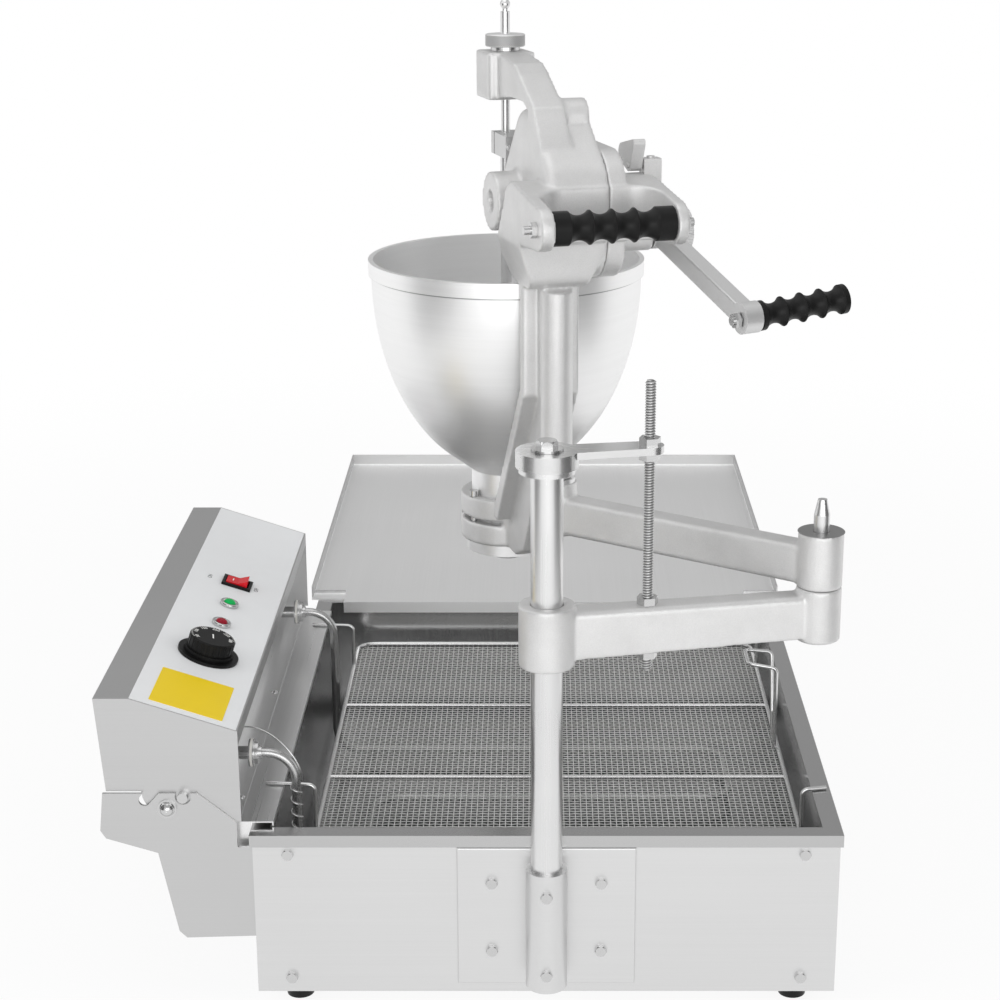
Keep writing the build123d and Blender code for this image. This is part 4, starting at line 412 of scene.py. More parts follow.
def spun(name, level, rough):
    """Grain that follows the height above the floor and, weakly, the place round the axis."""
    metal = Finish(name, Metallic=0.82)
    rings = metal.noise(1.0, (9, 9, 1500), detail=3.0, roughness=0.7)
    broad = metal.noise(1.0, (3, 3, 160), detail=2.0)
    tone = rings * 0.6 + broad * 0.4
    colour = metal.mix(tone, grey(level * 0.92), grey(level * 1.06))
    # painted shadow: a dark line under the band that stiffens the bowl's edge, on the outside only
    height = metal.along(2)
    out_x, out_y = metal.along(0) - bowl_axis[0], metal.along(1) - bowl_axis[1]
    outside = (out_x * out_x + out_y * out_y).above(bowl_radius**2, OUTSIDE_SOFT)
    over_line = height.above(band_low - SHADOW_LINE_WIDTH, SHADOW_LINE_SOFT)
    band_shadow = over_line * (1 - height.above(band_low, SHADOW_LINE_SOFT)) * outside
    colour = metal.mix(band_shadow, colour, grey(level * 0.35))
    return metal.feed(Base_Color=colour, Roughness=rough - 0.06 + rings * 0.12)


spun_metal = spun("spun_aluminium", 0.91, 0.39)
wear(["hopper", "dosing_cylinder"], spun_metal)

# %% [markdown]
# ## Castings with soft edges
# A casting has no sharp edge: the pattern is rounded so that it leaves the sand, and every inside
# corner is filled. A bevel on the solid's triangles would break at each meeting of three edges,
# so a copy of the solid is rebuilt as an even skin of small squares and then relaxed. The relaxed
# skin rounds all edges and fills all corners alike, as the foundry does.

# %% Rebuild the castings with rounded edges
SAME_CORNER = 1e-6


def soft_casting(node, voxel, rounds):
    """A copy of a solid as an even skin of that square size, relaxed a number of times."""
    mesh = nodes[node].data.copy()
    mesh.name = node + "_skin"
    weld(mesh, SAME_CORNER)
    piece = linked(node + "_skin", mesh)
    skin = piece.modifiers.new("even skin", "REMESH")
    skin.mode, skin.voxel_size = "VOXEL", voxel
    relax = piece.modifiers.new("relax", "SMOOTH")
    relax.factor, relax.iterations = 0.5, rounds
    made = evaluated_mesh(piece)
    piece.modifiers.clear()
    piece.data = made
    made.shade_smooth()
    return piece


# each casting's body, the square size of its skin and the times that the skin is relaxed
CASTINGS = {
    "depositor_frame": ("depositor", 1.8 * MM, 6),
    "gear_cover": ("depositor", 1.4 * MM, 5),
    "lower_arm": ("lower_swing_arm", 1.6 * MM, 5),
    "upper_arm": ("upper_swing_arm", 1.6 * MM, 5),
}
for node, (body, voxel, rounds) in CASTINGS.items():
    dress(soft_casting(node, voxel, rounds), casting, body, "cast_aluminium", node)
wear(["stop_tab", "stop_lever"], casting)
wear(["crank_arm"], machined)

# %% [markdown]
# ## Turned, plated and moulded parts
# The pillar, pins and bolts are bright steel, the grips and feet are black rubber, and the
# control parts are moulded plastic. Each has its own grain: turned lines on steel, a dull bloom
# on rubber, a faint orange-peel on plastic.


# %% Bright steel, rubber and plastic
def bright(name, level, rough, stretch=(300, 300, 300)):
    """Steel with fine lines and slow smears, both of which roughen it a little."""
    steel = Finish(name, Metallic=1.0)
    lines = steel.noise(1.0, stretch, detail=2.0)
    smears = steel.noise(14.0, detail=2.0)
    colour = steel.mix(smears, grey(level * 0.92), grey(level * 1.06))
    return steel.feed(Base_Color=colour, Roughness=rough - 0.05 + lines * 0.06 + smears * 0.05)


def moulded(name, colour, rough, grain=700.0, depth=0.06 * MM, tone=0.25):
    """Plastic or rubber: an even colour with a slow bloom and a fine moulded grain."""
    plastic = Finish(name, Metallic=0.0, Specular_IOR_Level=0.22)
    fine = plastic.noise(grain, detail=2.0)
    bloom = plastic.noise(40.0, detail=3.0)
    dark = tuple(c * (1 - tone) for c in colour) + (1.0,)
    light = tuple(c * (1 + tone) for c in colour) + (1.0,)
    return plastic.feed(
        Base_Color=plastic.mix(bloom, dark, light),
        Roughness=rough - 0.06 + fine * 0.07 + bloom * 0.06,
        Normal=plastic.bump(fine, depth, 0.5),
    )


pillar_steel = bright("turned_pillar_steel", 0.78, 0.28, (500, 500, 3))
plate_steel = bright("ground_tie_plate", 0.72, 0.26, (4, 300, 300))
bolt_steel = bright("plated_bolt_steel", 0.62, 0.20)
wire_steel = bright("bright_wire", 0.72, 0.24)
net_steel = moulded("dull_net_wire", (0.60, 0.60, 0.59), 0.42, 300.0, 0.01 * MM, 0.10)
element_steel = bright("heater_tube_steel", 0.50, 0.26)
gear_steel = bright("gear_steel", 0.66, 0.38)
rubber = moulded("black_rubber", (0.007, 0.007, 0.007), 0.40, 900.0, 0.1 * MM)
black_plastic = moulded("black_plastic", (0.004, 0.004, 0.004), 0.42)
red_plastic = moulded("red_rocker_plastic", (0.62, 0.010, 0.018), 0.22)
ivory = moulded("ivory_plastic", (0.72, 0.71, 0.66), 0.40)
panel_film = moulded("pale_panel_film", (0.80, 0.81, 0.82), 0.36, 500.0, 0.02 * MM, 0.02)
wear(["pillar", "elbow_pin", "swivel_pin", "plunger", "thrust_washer"], pillar_steel)
wear(["tie_plate"], plate_steel)
wear(["panel_bolts", "bracket_bolts", "sleeve_screws", "tie_bolt", "tie_nuts"], bolt_steel)
wear(["pivot_bolts", "latch_pins", "clamp_screw", "cover_screws"], bolt_steel)
wear(["grip_bolt", "crank_bolt"], bolt_steel)
wear(["screen_frame", "screen_handle"], wire_steel)
wear(["heating_element"], element_steel)
wear(["drive_gear", "crank_shaft", "lift_rack"], gear_steel)
wear(["rubber_feet", "fixed_grip", "crank_grip"], rubber)
wear(["switch_bezel", "dial_bezel", "thermostat_knob", "mains_gland", "power_relay"], black_plastic)
wear(["thermostat_body", "terminal_block"], ivory)
wear(["switch_rocker"], red_plastic)
wear(["head_panel"], panel_film)
print("finishes in all:", len(bpy.data.materials))

# %% [markdown]
# ## The heater's glands
# Each end of the heating element leaves the head through a stack of rings: a white washer between
# two bright ones. The solid is one turned piece, so its finish changes with the distance from the
# head's wall.

# %% White washer in each gland
gland_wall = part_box("head_housing")[1].x
WASHER_FROM, WASHER_TO, WASHER_SOFT = 1.6 * MM, 4.0 * MM, 0.1 * MM
WASHER_WHITE = (0.80, 0.79, 0.75, 1.0)
gland = Finish("gland_rings")
reach = gland.along(0) - gland_wall
white_ring = reach.above(WASHER_FROM, WASHER_SOFT) - reach.above(WASHER_TO, WASHER_SOFT)
scuffs = gland.noise(60.0, detail=3.0)
gland.feed(
    Base_Color=gland.mix(white_ring, gland.mix(scuffs, grey(0.54), grey(0.66)), WASHER_WHITE),
    Metallic=1 - white_ring,
    Roughness=0.2 + white_ring * 0.2 + scuffs * 0.06,
)
wear(["element_glands"], gland)
print("gland wall at x", round(gland_wall, 4))

# %% [markdown]
# ## The woven screen
# The frying screen is a net of crimped wire. Modelled as flat strips it would look like a grille,
# so each wire is a thin tube that rises and falls as it passes its neighbours: the height along a
# wire is a cosine with one half wave per crossing, and neighbouring wires are half a wave apart.
# All the wires of one direction are a single array.

# %% Weave the net
NET_PITCH = 5.8 * MM
NET_WIRE = 0.62 * MM
NET_SIDES = 4
NET_CRIMP = 0.55
net_low, net_high = (np.array(c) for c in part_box("screen_mesh"))


def net_wires(name, long_axis):
    """Wires along one axis, each ringed by a tube of a few sides.

    Wire k has side = k pitch and height = crimp r cos(pi (s / pitch + k)).
    """
    side_axis = 1 - long_axis
    span = net_high - net_low
    count = int(span[side_axis] / NET_PITCH)
    crossings = int(span[long_axis] / NET_PITCH)
    side = net_low[side_axis] + (np.arange(count) + 0.5) * span[side_axis] / count
    steps = np.linspace(0, crossings, 2 * crossings + 1)
    along = net_low[long_axis] + steps * span[long_axis] / crossings
    # the wires of the other direction start half a wave later, so that they pass over and under
    start = 0.5 + long_axis
    wave = np.cos(pi * (steps[None, :] + start + np.arange(count)[:, None]))
    height = (net_low[2] + net_high[2]) / 2 + NET_CRIMP * NET_WIRE * wave
    turn = np.linspace(0, 2 * pi, NET_SIDES, endpoint=False) + pi / 4
    points = np.zeros((count, len(steps), NET_SIDES, 3))
    points[..., long_axis] = along[None, :, None]
    points[..., side_axis] = side[:, None, None] + NET_WIRE * np.cos(turn)
    points[..., 2] = height[:, :, None] + NET_WIRE * np.sin(turn)
    one = quads(len(steps), NET_SIDES, wrap_columns=True)
    faces = one[None] + (np.arange(count) * len(steps) * NET_SIDES)[:, None, None]
    return new_piece(name, points, faces.reshape(-1, 4).tolist())


dress(net_wires("screen_net_across", 0), net_steel, "screen", "wire_steel", "screen_mesh")
dress(net_wires("screen_net_along", 1), net_steel, "screen", "wire_steel", "screen_mesh")

# %% [markdown]
# ## Threads and knurls
# The tie rod is threaded from end to end and the adjusting nut is knurled. Both are a cylinder
# whose radius changes with the angle and the height: the thread is a triangle wave of the height
# minus the angle's share of the pitch, and the knurl is two such waves crossing.


# %% Cut the thread and the knurl
def triangle(phase):
    """A wave between 0 and 1 with straight flanks and a period of 1."""
    return np.abs(2 * (phase - np.floor(phase)) - 1)


def upright_surface(name, centre, radius_of, low, high, around, steps):
    """A closed column about +Z whose radius is a function of the angle and the height."""
    turn = np.linspace(0, 2 * pi, around, endpoint=False)[None, :]
    height = np.linspace(low, high, steps)[:, None]
    r, tone = radius_of(turn, height)
    points = np.stack(
        [centre[0] + r * np.cos(turn), centre[1] + r * np.sin(turn), height + 0 * turn], axis=-1
    )
    faces = grid_faces(steps, around, wrap_columns=True, capped=True)
    return new_piece(name, points, faces, tone=tone + 0 * r)


def grooved(name, level, rough):
    """Steel that is darker where its points carry a higher tone: painted shade in the grooves."""
    steel = Finish(name, Metallic=1.0)
    groove = steel.node("Attribute", {"attribute_name": "tone"}, output="Fac")
    specks = steel.noise(400.0, detail=2.0)
    # painted shade: the deeper the groove, the darker the steel
    colour = steel.mix(groove, grey(level), grey(level * 0.16))
    return steel.feed(Base_Color=colour, Roughness=rough + specks * 0.08 + groove * 0.2)


# %% Thread of the tie rod
THREAD_PITCH = 2.5 * MM
THREAD_DEPTH = 1.15 * MM
THREAD_STEPS, THREAD_AROUND = 8, 24
ROD_CHAMFER = 1.4 * MM
rod_middle, rod_low, rod_high = box_middle("tie_rod")
rod_radius = (rod_high[0] - rod_low[0]) / 2


def thread(turn, height):
    """Outer radius less a triangle wave of height / pitch - turn / 2 pi, chamfered at both ends."""
    wave = triangle(height / THREAD_PITCH - turn / (2 * pi))
    end = np.minimum(height - rod_low[2], rod_high[2] - height)
    chamfer = np.clip(ROD_CHAMFER - end, 0, None)
    return rod_radius - THREAD_DEPTH * wave - chamfer, wave


rod_steps = int((rod_high[2] - rod_low[2]) / THREAD_PITCH * THREAD_STEPS)
rod_span = (rod_low[2], rod_high[2], THREAD_AROUND, rod_steps)
rod = upright_surface("threaded_tie_rod", rod_middle, thread, *rod_span)
dress(rod, grooved("threaded_steel", 0.84, 0.28), "lower_swing_arm", "bolt_steel", "tie_rod")

# %% Knurl of the adjusting nut
KNURLS, KNURL_STEPS = 54, 34
KNURL_DEPTH = 0.55 * MM
KNURL_LEAD = 2.2 * MM
KNURL_GROOVE_SHADE = 0.75
NUT_CHAMFER = 1.0 * MM
DISC_HEIGHT = 12 * MM
COLLAR_RADIUS = 14.5 * MM
nut_middle, nut_low, nut_high = box_middle("adjusting_nut")
nut_radius = (nut_high[0] - nut_low[0]) / 2
collar_height = nut_high[2] - nut_low[2] - DISC_HEIGHT
disc_low = nut_low[2] + collar_height


def knurl(turn, height):
    """Two crossing triangle waves of the angle and the height, with a small chamfer at each rim."""
    around = turn * KNURLS / (2 * pi)
    along = (height - disc_low) / KNURL_LEAD
    wave = np.maximum(triangle(around + along), triangle(around - along))
    end = np.minimum(height - disc_low, nut_high[2] - height)
    chamfer = np.clip(NUT_CHAMFER - end, 0, None)
    groove = np.where(end < NUT_CHAMFER, 0.0, wave)
    return nut_radius - KNURL_DEPTH * groove - chamfer, KNURL_GROOVE_SHADE * groove


disc_span = (disc_low, nut_high[2], KNURLS * 6, KNURL_STEPS)
disc = upright_surface("knurled_nut", nut_middle, knurl, *disc_span)
dress(disc, grooved("knurled_steel", 0.80, 0.42), "nut", "dark_steel", "adjusting_nut")
collar_profile = [(0, 0), (COLLAR_RADIUS, 0), (COLLAR_RADIUS, collar_height), (0, collar_height)]
collar_place = at([nut_middle[0], nut_middle[1], nut_low[2]])
collar = new_piece("nut_collar", *lathe(collar_profile, collar_place), smooth=False)
dress(collar, bolt_steel, "nut", "dark_steel")

# %% [markdown]
# ## A face cut by the lathe
# Where the arms turn on each other the elbow's boss is cut flat, and the cut shows as a darker
# ring in the pale skin. It is a thin turned ring that lies on the boss.

# %% Ring on the elbow's boss
CUT_SINK, CUT_RISE, CUT_BEVEL = 0.3 * MM, 0.06 * MM, 0.4 * MM
CUT_INNER, CUT_OUTER = 7.6 * MM, 21.5 * MM
cut_rim = [
    (CUT_INNER, -CUT_SINK),
    (CUT_OUTER, -CUT_SINK),
    (CUT_OUTER - CUT_BEVEL, CUT_RISE),
    (CUT_INNER, CUT_RISE),
]
elbow = box_middle("elbow_pin")[0]
boss_top = box_middle("upper_arm")[2][2]
cut_shape = lathe(cut_rim, at([elbow[0], elbow[1], boss_top]), around=64, ring=True)
cut_face = new_piece("elbow_cut_face", *cut_shape, smooth=False)
cut_metal = bright("lathe_cut_face", 0.34, 0.40)
dress(cut_face, cut_metal, "upper_swing_arm", "cast_aluminium")

# %% [markdown]
# ## Marks on the control panel
# The panel carries a dial with plain numbers, a rocker marked with a bar and a ring, a word on
# each side of the rocker, and a bare yellow plate. Marks are thin raised shapes on the faces that
# carry them: an image would blur, and the marks of the knob have to turn with the knob.

# %% Where the sloped panel lies
PANEL_SLOPE = radians(18.3)
panel_low, panel_high = (np.array(c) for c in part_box("head_panel"))
panel_top = np.array([panel_low[0], panel_low[1], panel_high[2]])
down_slope = np.array([cos(PANEL_SLOPE), 0, -sin(PANEL_SLOPE)])
to_rear = np.array([0.0, 1.0, 0.0])
out_of_panel = np.array([sin(PANEL_SLOPE), 0, cos(PANEL_SLOPE)])


def on_panel(points, centre):
    """Flat (down the slope, to the rear, outwards) points, put at a point of the panel."""
    points = np.asarray(points, float)
    in_plane = points[..., :1] * down_slope + points[..., 1:2] * to_rear
    return centre + in_plane + points[..., 2:] * out_of_panel


def panel_point(along, rear):
    """A point of the panel's face, from its top front corner."""
    return panel_top + along * down_slope + rear * to_rear


# %% The bare yellow plate
PLATE_ALONG = (17 * MM, 88 * MM)
PLATE_REAR = (10.5 * MM, 90.5 * MM)
PLATE_THICK = 0.35 * MM
PLATE_CORNER = 1.5 * MM
PLATE_AROUND = 48


def thin_plate(name, along, rear):
    """A rectangle with rounded corners, raised off the panel."""
    turn = np.linspace(0, 2 * pi, PLATE_AROUND, endpoint=False)
    half = np.array([along[1] - along[0], rear[1] - rear[0]]) / 2
    loop = np.stack([np.cos(turn), np.sin(turn)], axis=-1)
    loop = np.sign(loop) * (half - PLATE_CORNER) + PLATE_CORNER * loop
    points, faces = slab(loop, 0.0, PLATE_THICK)
    centre = panel_point(sum(along) / 2, sum(rear) / 2)
    return new_piece(name, on_panel(points, centre), faces, smooth=False)


yellow = moulded("yellow_film", (0.86, 0.62, 0.006), 0.40, 600.0, 0.02 * MM, 0.03)
plate = thin_plate("bare_yellow_plate", PLATE_ALONG, PLATE_REAR)
dress(plate, yellow, "control_head", "panel_white")

# %% Numbers and lines as flat shapes
white_ink = moulded("white_ink", (0.80, 0.80, 0.78), 0.45, 900.0, 0.02 * MM, 0.04)
grey_ink = moulded("grey_ink", (0.10, 0.10, 0.11), 0.45, 900.0, 0.02 * MM, 0.06)
INK = 0.12 * MM


def flat_text(words, size):
    """Points and faces of a word centred on the origin, from the built-in font."""
    curve = bpy.data.curves.new("lettering", "FONT")
    curve.body, curve.size = words, size
    curve.align_x, curve.align_y = "CENTER", "CENTER"
    curve.extrude = INK
    holder = linked("lettering", curve)
    mesh = evaluated_mesh(holder)
    points = np.zeros(len(mesh.vertices) * 3)
    mesh.vertices.foreach_get("co", points)
    faces = [list(p.vertices) for p in mesh.polygons]
    bpy.data.objects.remove(holder)
    bpy.data.meshes.remove(mesh)
    return points.reshape(-1, 3), faces


def bar(length, width):
    """A thin bar along +Y with its middle at the origin."""
    x, y = width / 2, length / 2
    return slab([(-x, -y), (x, -y), (x, y), (-x, y)], -INK, INK)


def turned(points, angle):
    """Flat points turned about their own origin."""
    c, s = cos(angle), sin(angle)
    x, y = points[:, 0] * c - points[:, 1] * s, points[:, 0] * s + points[:, 1] * c
    return np.stack([x, y, points[:, 2]], axis=-1)


def tipped(points, angle, down, out):
    """Flat points tipped about the rear axis, then put down the slope and out of the panel."""
    c, s = cos(angle), sin(angle)
    x, z = points[:, 0] * c - points[:, 2] * s, points[:, 0] * s + points[:, 2] * c
    return np.stack([x + down, points[:, 1], z + out], axis=-1)


# %% The knob's scale
KNOB_TOP = 18.7 * MM
NUMBERS, NUMBER_STEP, NUMBER_SIZE, NUMBER_RADIUS = 6, 50, 5.2 * MM, 17.5 * MM
TICKS, TICKS_PER_NUMBER, TICK_RADIUS = 31, 6, 21.3 * MM
TICK_LENGTH, TICK_WIDTH = 1.6 * MM, 0.5 * MM
POINTER_LENGTH, POINTER_WIDTH, POINTER_TURN = 10 * MM, 1.4 * MM, radians(10)
SCALE_FROM, SCALE_STEP = radians(215), radians(42)
knob_face = box_middle("dial_bezel")[0] + KNOB_TOP * out_of_panel


def round_dial(shape, spot, radius):
    """A flat shape put at an angle and a radius of the dial, upright as seen from the middle."""
    points, cells = shape
    return turned(points, spot - pi / 2) + radius * np.array([cos(spot), sin(spot), 0]), cells


marks = []
for step in range(NUMBERS):
    number = flat_text(str(NUMBER_STEP * (step + 1)), NUMBER_SIZE)
    marks.append(round_dial(number, SCALE_FROM - step * SCALE_STEP, NUMBER_RADIUS))
for step in range(TICKS):
    spot = SCALE_FROM - step * SCALE_STEP / TICKS_PER_NUMBER
    marks.append(round_dial(bar(TICK_LENGTH, TICK_WIDTH), spot, TICK_RADIUS))
pointer, cells = bar(POINTER_LENGTH, POINTER_WIDTH)
marks.append((turned(pointer, POINTER_TURN), cells))
points, faces = joined(marks)
scale = new_piece("knob_scale", on_panel(points, knob_face), faces, smooth=False)
dress(scale, white_ink, "knob", "black_plastic")

# %% Switch words and the rocker's bar and ring
SWITCH_ALONG, SWITCH_REAR = 52 * MM, 359.5 * MM
ON_ALONG, OFF_ALONG, WORD_SIZE = 22 * MM, 74 * MM, 6.5 * MM
words = []
for text, along in (("ON", ON_ALONG), ("OFF", OFF_ALONG)):
    letters, cells = flat_text(text, WORD_SIZE)
    words.append((on_panel(turned(letters, pi / 2), panel_point(along, SWITCH_REAR)), cells))
switch_words = new_piece("switch_words", *joined(words), smooth=False)
dress(switch_words, grey_ink, "control_head", "panel_white")

# each mark of the rocker: its shape, then its tip, its way down the slope and out of the panel
BAR_LENGTH, BAR_WIDTH = 6 * MM, 1.1 * MM
RING_INNER, RING_WIDTH = 1.9 * MM, 0.9 * MM
RING_OUTER = RING_INNER + RING_WIDTH
ring_section = [(RING_INNER, -INK), (RING_OUTER, -INK), (RING_OUTER, INK), (RING_INNER, INK)]
ROCKER_MARKS = [
    (bar(BAR_LENGTH, BAR_WIDTH), radians(2.5), -5 * MM, 4.15 * MM),
    (lathe(ring_section, at([0, 0, 0]), around=20, ring=True), radians(29), 6 * MM, 6.9 * MM),
]
switch_middle = panel_point(SWITCH_ALONG, SWITCH_REAR)
rocker_shapes = [
    (on_panel(tipped(points, *place), switch_middle), cells)
    for (points, cells), *place in ROCKER_MARKS
]
rocker_marks = new_piece("rocker_marks", *joined(rocker_shapes), smooth=False)
dress(rocker_marks, white_ink, "rocker", "red_plastic")

# %% [markdown]
# ## Indicator lamps
# Each lamp is a faceted coloured lens in a bright turned bezel. The solid is one piece, so two
# turned surfaces take its place: a cup with a rounded lip for the bezel, and a dome whose radius
# steps between twelve flats for the lens.

# %% Lamps
LAMP_BEZEL = [(0, 0), (9.7, 0), (10, 0.4), (10, 3.2), (9.4, 4), (7.6, 4.1), (6.9, 3.6)]
LAMP_BEZEL += [(6.6, 1.6), (0, 1.6)]
LAMP_DOME = [(0.0, 1.6), (6.2, 1.6), (6.2, 3.4), (5.2, 5.2), (3.2, 6.2), (0.0, 6.4)]
LENS_FLATS = 12
lens_green = moulded("green_lens", (0.0, 0.42, 0.085), 0.12, 300.0, 0.02 * MM, 0.10)
lens_red = moulded("dark_red_lens", (0.30, 0.006, 0.02), 0.12, 300.0, 0.02 * MM, 0.15)


def lamp(node, lens_finish, lens_slot):
    """A bezel and a lens on the panel's face under the middle of a lamp's solid."""
    middle = box_middle(node)[0] - panel_top
    foot = panel_point(middle @ down_slope, middle @ to_rear)
    place = lambda shape: on_panel(shape, foot)
    cup = new_piece(node + "_bezel", *lathe(np.array(LAMP_BEZEL) * MM, place))
    dress(cup, bolt_steel, "control_head", "bolt_steel", node)
    dome = lathe(np.array(LAMP_DOME) * MM, place, around=LENS_FLATS)
    lens = new_piece(node + "_lens", *dome, smooth=False)
    dress(lens, lens_finish, "control_head", lens_slot)


lamp("lamp_green", lens_green, "green_lens")
lamp("lamp_red", lens_red, "red_lens")

# %% [markdown]
# ## The thermostat's capillary
# A thin bright tube leaves the head above the front gland and winds down the heater's riser,
# which it clings to. The lead is a Bezier curve with four points. The rest is one helix: a circle
# round the riser's axis that sinks by one pitch per turn.

# %% Wind the capillary round the riser
CAPILLARY = 0.75 * MM
COIL_RADIUS, TURN_DROP = 5.4 * MM, 13 * MM
COIL_FROM, COIL_TO = 196 * MM, 75 * MM
COIL_STEPS, LEAD_STEPS = 20, 24
GLAND_RADIUS = 13.5 * MM
RISER_IN = 90 * MM
gland_low = np.array(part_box("element_glands")[0])
riser_x = box_middle("heating_element")[1][0] + RISER_IN
riser_y = gland_low[1] + GLAND_RADIUS
coil_turns = (COIL_FROM - COIL_TO) / TURN_DROP
turn = np.linspace(0, 2 * pi * coil_turns, int(coil_turns * COIL_STEPS))
coil_x = riser_x + COIL_RADIUS * np.cos(turn)
coil_y = riser_y + COIL_RADIUS * np.sin(turn)
coil = np.stack([coil_x, coil_y, COIL_FROM - TURN_DROP * turn / (2 * pi)], axis=-1)
lead_points = np.array(
    [
        [gland_low[0] + 8 * MM, riser_y + 14 * MM, 240 * MM],
        [gland_low[0] + 40 * MM, riser_y + 16 * MM, 262 * MM],
        [riser_x + 10 * MM, riser_y - 14 * MM, 225 * MM],
        coil[0],
    ]
)
t = np.linspace(0, 1, LEAD_STEPS, endpoint=False)[:, None]
weights = np.hstack([(1 - t) ** 3, 3 * t * (1 - t) ** 2, 3 * t**2 * (1 - t), t**3])
capillary_shape = tube(np.vstack([weights @ lead_points, coil]), CAPILLARY, sides=8)
capillary = new_piece("thermostat_capillary", *capillary_shape)
dress(capillary, wire_steel, "control_head", "wire_steel")

# %% [markdown]
# ## The splash ledge's seam
# The ledge is folded from two strips that lap along the middle and are held by dome rivets. The
# lap is a second thin sheet on the first, and the rivets are turned domes: both catch a line of
# light that a painted line could not.

# %% Lap the ledge and rivet it
LAP_GAP, LAP_THICK = 0.01 * MM, 0.6 * MM
SEAM_IN, RIVET_IN = 51 * MM, 5 * MM
RIVET = [(0.0, 0.0), (3.6, 0.0), (3.3, 0.9), (2.3, 1.7), (0.0, 2.1)]
RIVET_SHARES = (0.09, 0.55, 0.95)
ledge_low, ledge_high = (np.array(c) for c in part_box("splash_ledge"))
seam_x = ledge_low[0] + SEAM_IN
lap_top = ledge_high[2] + LAP_THICK
lap_front = [(ledge_low[0], ledge_low[1]), (seam_x, ledge_low[1])]
lap_rear = [(seam_x, ledge_high[1]), (ledge_low[0], ledge_high[1])]
lap_shape = slab(lap_front + lap_rear, ledge_high[2] + LAP_GAP, lap_top)
dress(new_piece("ledge_lap", *lap_shape, smooth=False), ledge_sheet, "base", "stainless_sheet")
rivets = []
for share in RIVET_SHARES:
    rivet_y = ledge_low[1] + share * (ledge_high[1] - ledge_low[1])
    rivet_place = at([seam_x - RIVET_IN, rivet_y, lap_top])
    rivets.append(lathe(np.array(RIVET) * MM, rivet_place, around=24))
dress(new_piece("ledge_rivets", *joined(rivets)), bolt_steel, "base", "bolt_steel")

# %% [markdown]
# ## Stage, light and camera
# The machine stands on a pale floor before a white background. Bright metal only shows its shape
# by what it mirrors, so large soft lamps stand in front, above and at both sides, and dark
# boards, which only the metal sees, draw the darker edges that a studio's unlit side gives.


# %% Light that is seen, not cast
def emit(tree, level):
    """The socket of a shader that glows in an even grey."""
    return shader_node(tree, "Emission", None, {"Color": grey(level), "Strength": 1.0}).outputs[0]


def seen_directly(tree):
    """1 for camera, glossy and transmission rays, 0 for the light that falls on the object."""
    path = shader_node(tree, "LightPath").outputs
    total = path["Is Camera Ray"]
    for kind in ("Is Glossy Ray", "Is Transmission Ray"):
        pair = {0: total, 1: path[kind]}
        total = shader_node(tree, "Math", {"operation": "MAXIMUM"}, pair).outputs[0]
    return total


# %% Floor
FLOOR_HALF, FLOOR_DROP = 6.0, 0.2 * MM
GLOW_NEAR, GLOW_FAR = (0.6, 0.90), (2.2, 1.0)
corner = np.array([(-1, -1, 0), (1, -1, 0), (1, 1, 0), (-1, 1, 0)]) * FLOOR_HALF
floor = new_piece("floor", corner - np.array([0, 0, FLOOR_DROP]), [[0, 1, 2, 3]], smooth=False)
floor_paint = Finish("pale_floor", Base_Color=grey(0.86), Roughness=0.9, Specular_IOR_Level=0.0)
tree = floor_paint.tree
# the floor glows, less near the machine, so that it meets the background without a line
spot = shader_node(tree, "TexCoord").outputs["Object"]
distance = shader_node(tree, "VectorMath", {"operation": "LENGTH"}, {0: spot}).outputs["Value"]
rise = (GLOW_NEAR[0], GLOW_FAR[0], GLOW_NEAR[1], GLOW_FAR[1], "SMOOTHSTEP")
factors = {0: seen_directly(tree), 1: ramp(tree, distance, *rise)}
share = shader_node(tree, "Math", {"operation": "MULTIPLY"}, factors).outputs[0]
shaders = {0: share, 1: floor_paint.shader.outputs[0], 2: emit(tree, 1.0)}
blend = shader_node(tree, "MixShader", None, shaders).outputs[0]
tree.links.new(blend, tree.nodes["Material Output"].inputs["Surface"])
floor.data.materials.append(floor_paint.material)

# %% White background
SKY_LOW, SKY_HIGH = (0.1, 1.0), (0.9, 0.45)
world = bpy.data.worlds.new("white_studio")
bpy.context.scene.world = world
world.use_nodes = True
tree = world.node_tree
back = tree.nodes["Background"]
back.inputs["Color"].default_value = grey(1.0)
# for the metal the sky darkens upwards, as under a studio's unlit ceiling
direction = shader_node(tree, "TexCoord").outputs["Generated"]
height = shader_node(tree, "SeparateXYZ", None, {0: direction}).outputs["Z"]
sky = ramp(tree, height, SKY_LOW[0], SKY_HIGH[0], SKY_LOW[1], SKY_HIGH[1])
camera_ray = shader_node(tree, "LightPath").outputs["Is Camera Ray"]
tree.links.new(ramp(tree, camera_ray, 0.0, 1.0, sky, 1.0), back.inputs["Strength"])
print("floor and background ready")


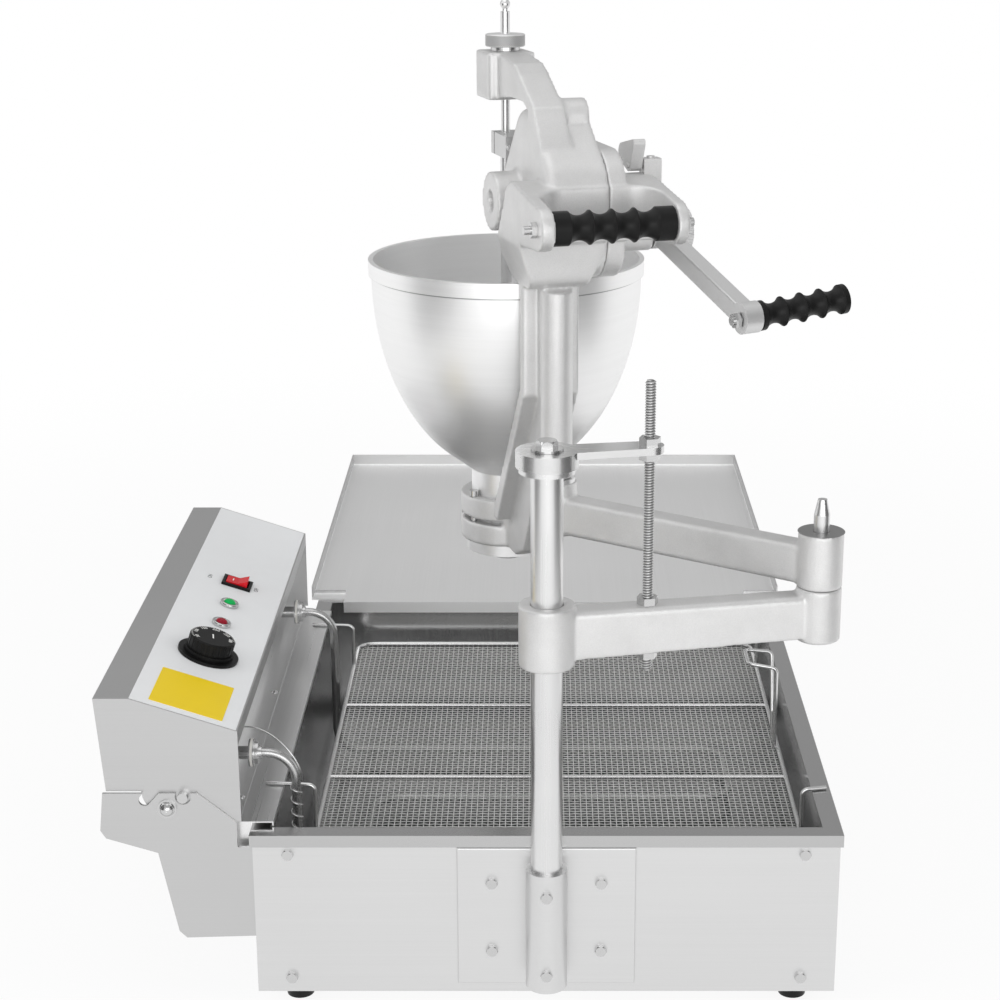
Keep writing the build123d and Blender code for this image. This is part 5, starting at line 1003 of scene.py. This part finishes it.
# %% Soft lamps and dark boards
def softbox(name, place, target, width, height, watts):
    """A rectangular lamp at a place, turned to a target."""
    data = bpy.data.lights.new(name, "AREA")
    data.shape, data.size, data.size_y, data.energy = "RECTANGLE", width, height, watts
    box = linked(name, data)
    box.location = place
    aim = Vector(target) - Vector(place)
    box.rotation_euler = aim.to_track_quat("-Z", "Y").to_euler()


softbox("overhead_softbox", (-0.3, -0.3, 2.7), (0, 0, 0.2), 2.4, 2.0, 13)
softbox("front_softbox", (0.3, -3.4, 0.9), (0, 0, 0.5), 2.6, 1.6, 22)
softbox("left_softbox", (-2.4, -1.6, 1.5), (0, 0, 0.4), 1.2, 1.8, 20)
softbox("right_softbox", (2.5, -1.2, 1.3), (0, 0, 0.4), 1.0, 1.6, 12)


def dark_board(name, start, end, low, high, level):
    """An upright board between two points of the floor plan that only mirror-like surfaces see."""
    corners = [(*start, low), (*end, low), (*end, high), (*start, high)]
    board = new_piece(name, np.array(corners, float), [[0, 1, 2, 3]], smooth=False)
    paint = bpy.data.materials.new(name)
    paint.use_nodes = True
    tree = paint.node_tree
    tree.links.new(emit(tree, level), tree.nodes["Material Output"].inputs["Surface"])
    board.data.materials.append(paint)
    for ray in ("visible_camera", "visible_diffuse", "visible_shadow", "visible_transmission"):
        setattr(board, ray, False)


dark_board("rear_board", (-3, 2.8), (3, 2.8), 0.5, 2.6, 0.42)
dark_board("left_board", (-1.3, -1.9), (-1.3, -0.5), 0, 1.5, 0.10)
dark_board("right_board", (1.3, -1.7), (1.3, -0.4), 0, 1.5, 0.10)

# %% [markdown]
# The camera stands where the photographer stood, a little above the top of the machine and 2.35 m
# in front of its middle, looking down by 17 degrees with a long lens.

# %% Camera
CAMERA_PLACE = (0.059, -2.349, 1.049)
CAMERA_PITCH = radians(17.32)
LENS_MM, SENSOR_MM = 74.7, 36.0
SHIFT_X, SHIFT_Y = -0.039, 0.004
camera_data = bpy.data.cameras.new("studio_camera")
camera_data.lens, camera_data.sensor_width = LENS_MM, SENSOR_MM
camera_data.shift_x, camera_data.shift_y = SHIFT_X, SHIFT_Y
camera = linked("studio_camera", camera_data)
camera.location = CAMERA_PLACE
camera.rotation_euler = (pi / 2 - CAMERA_PITCH, 0, 0)
bpy.context.scene.camera = camera
bpy.context.scene.view_settings.view_transform = "Standard"
print("camera at", CAMERA_PLACE)
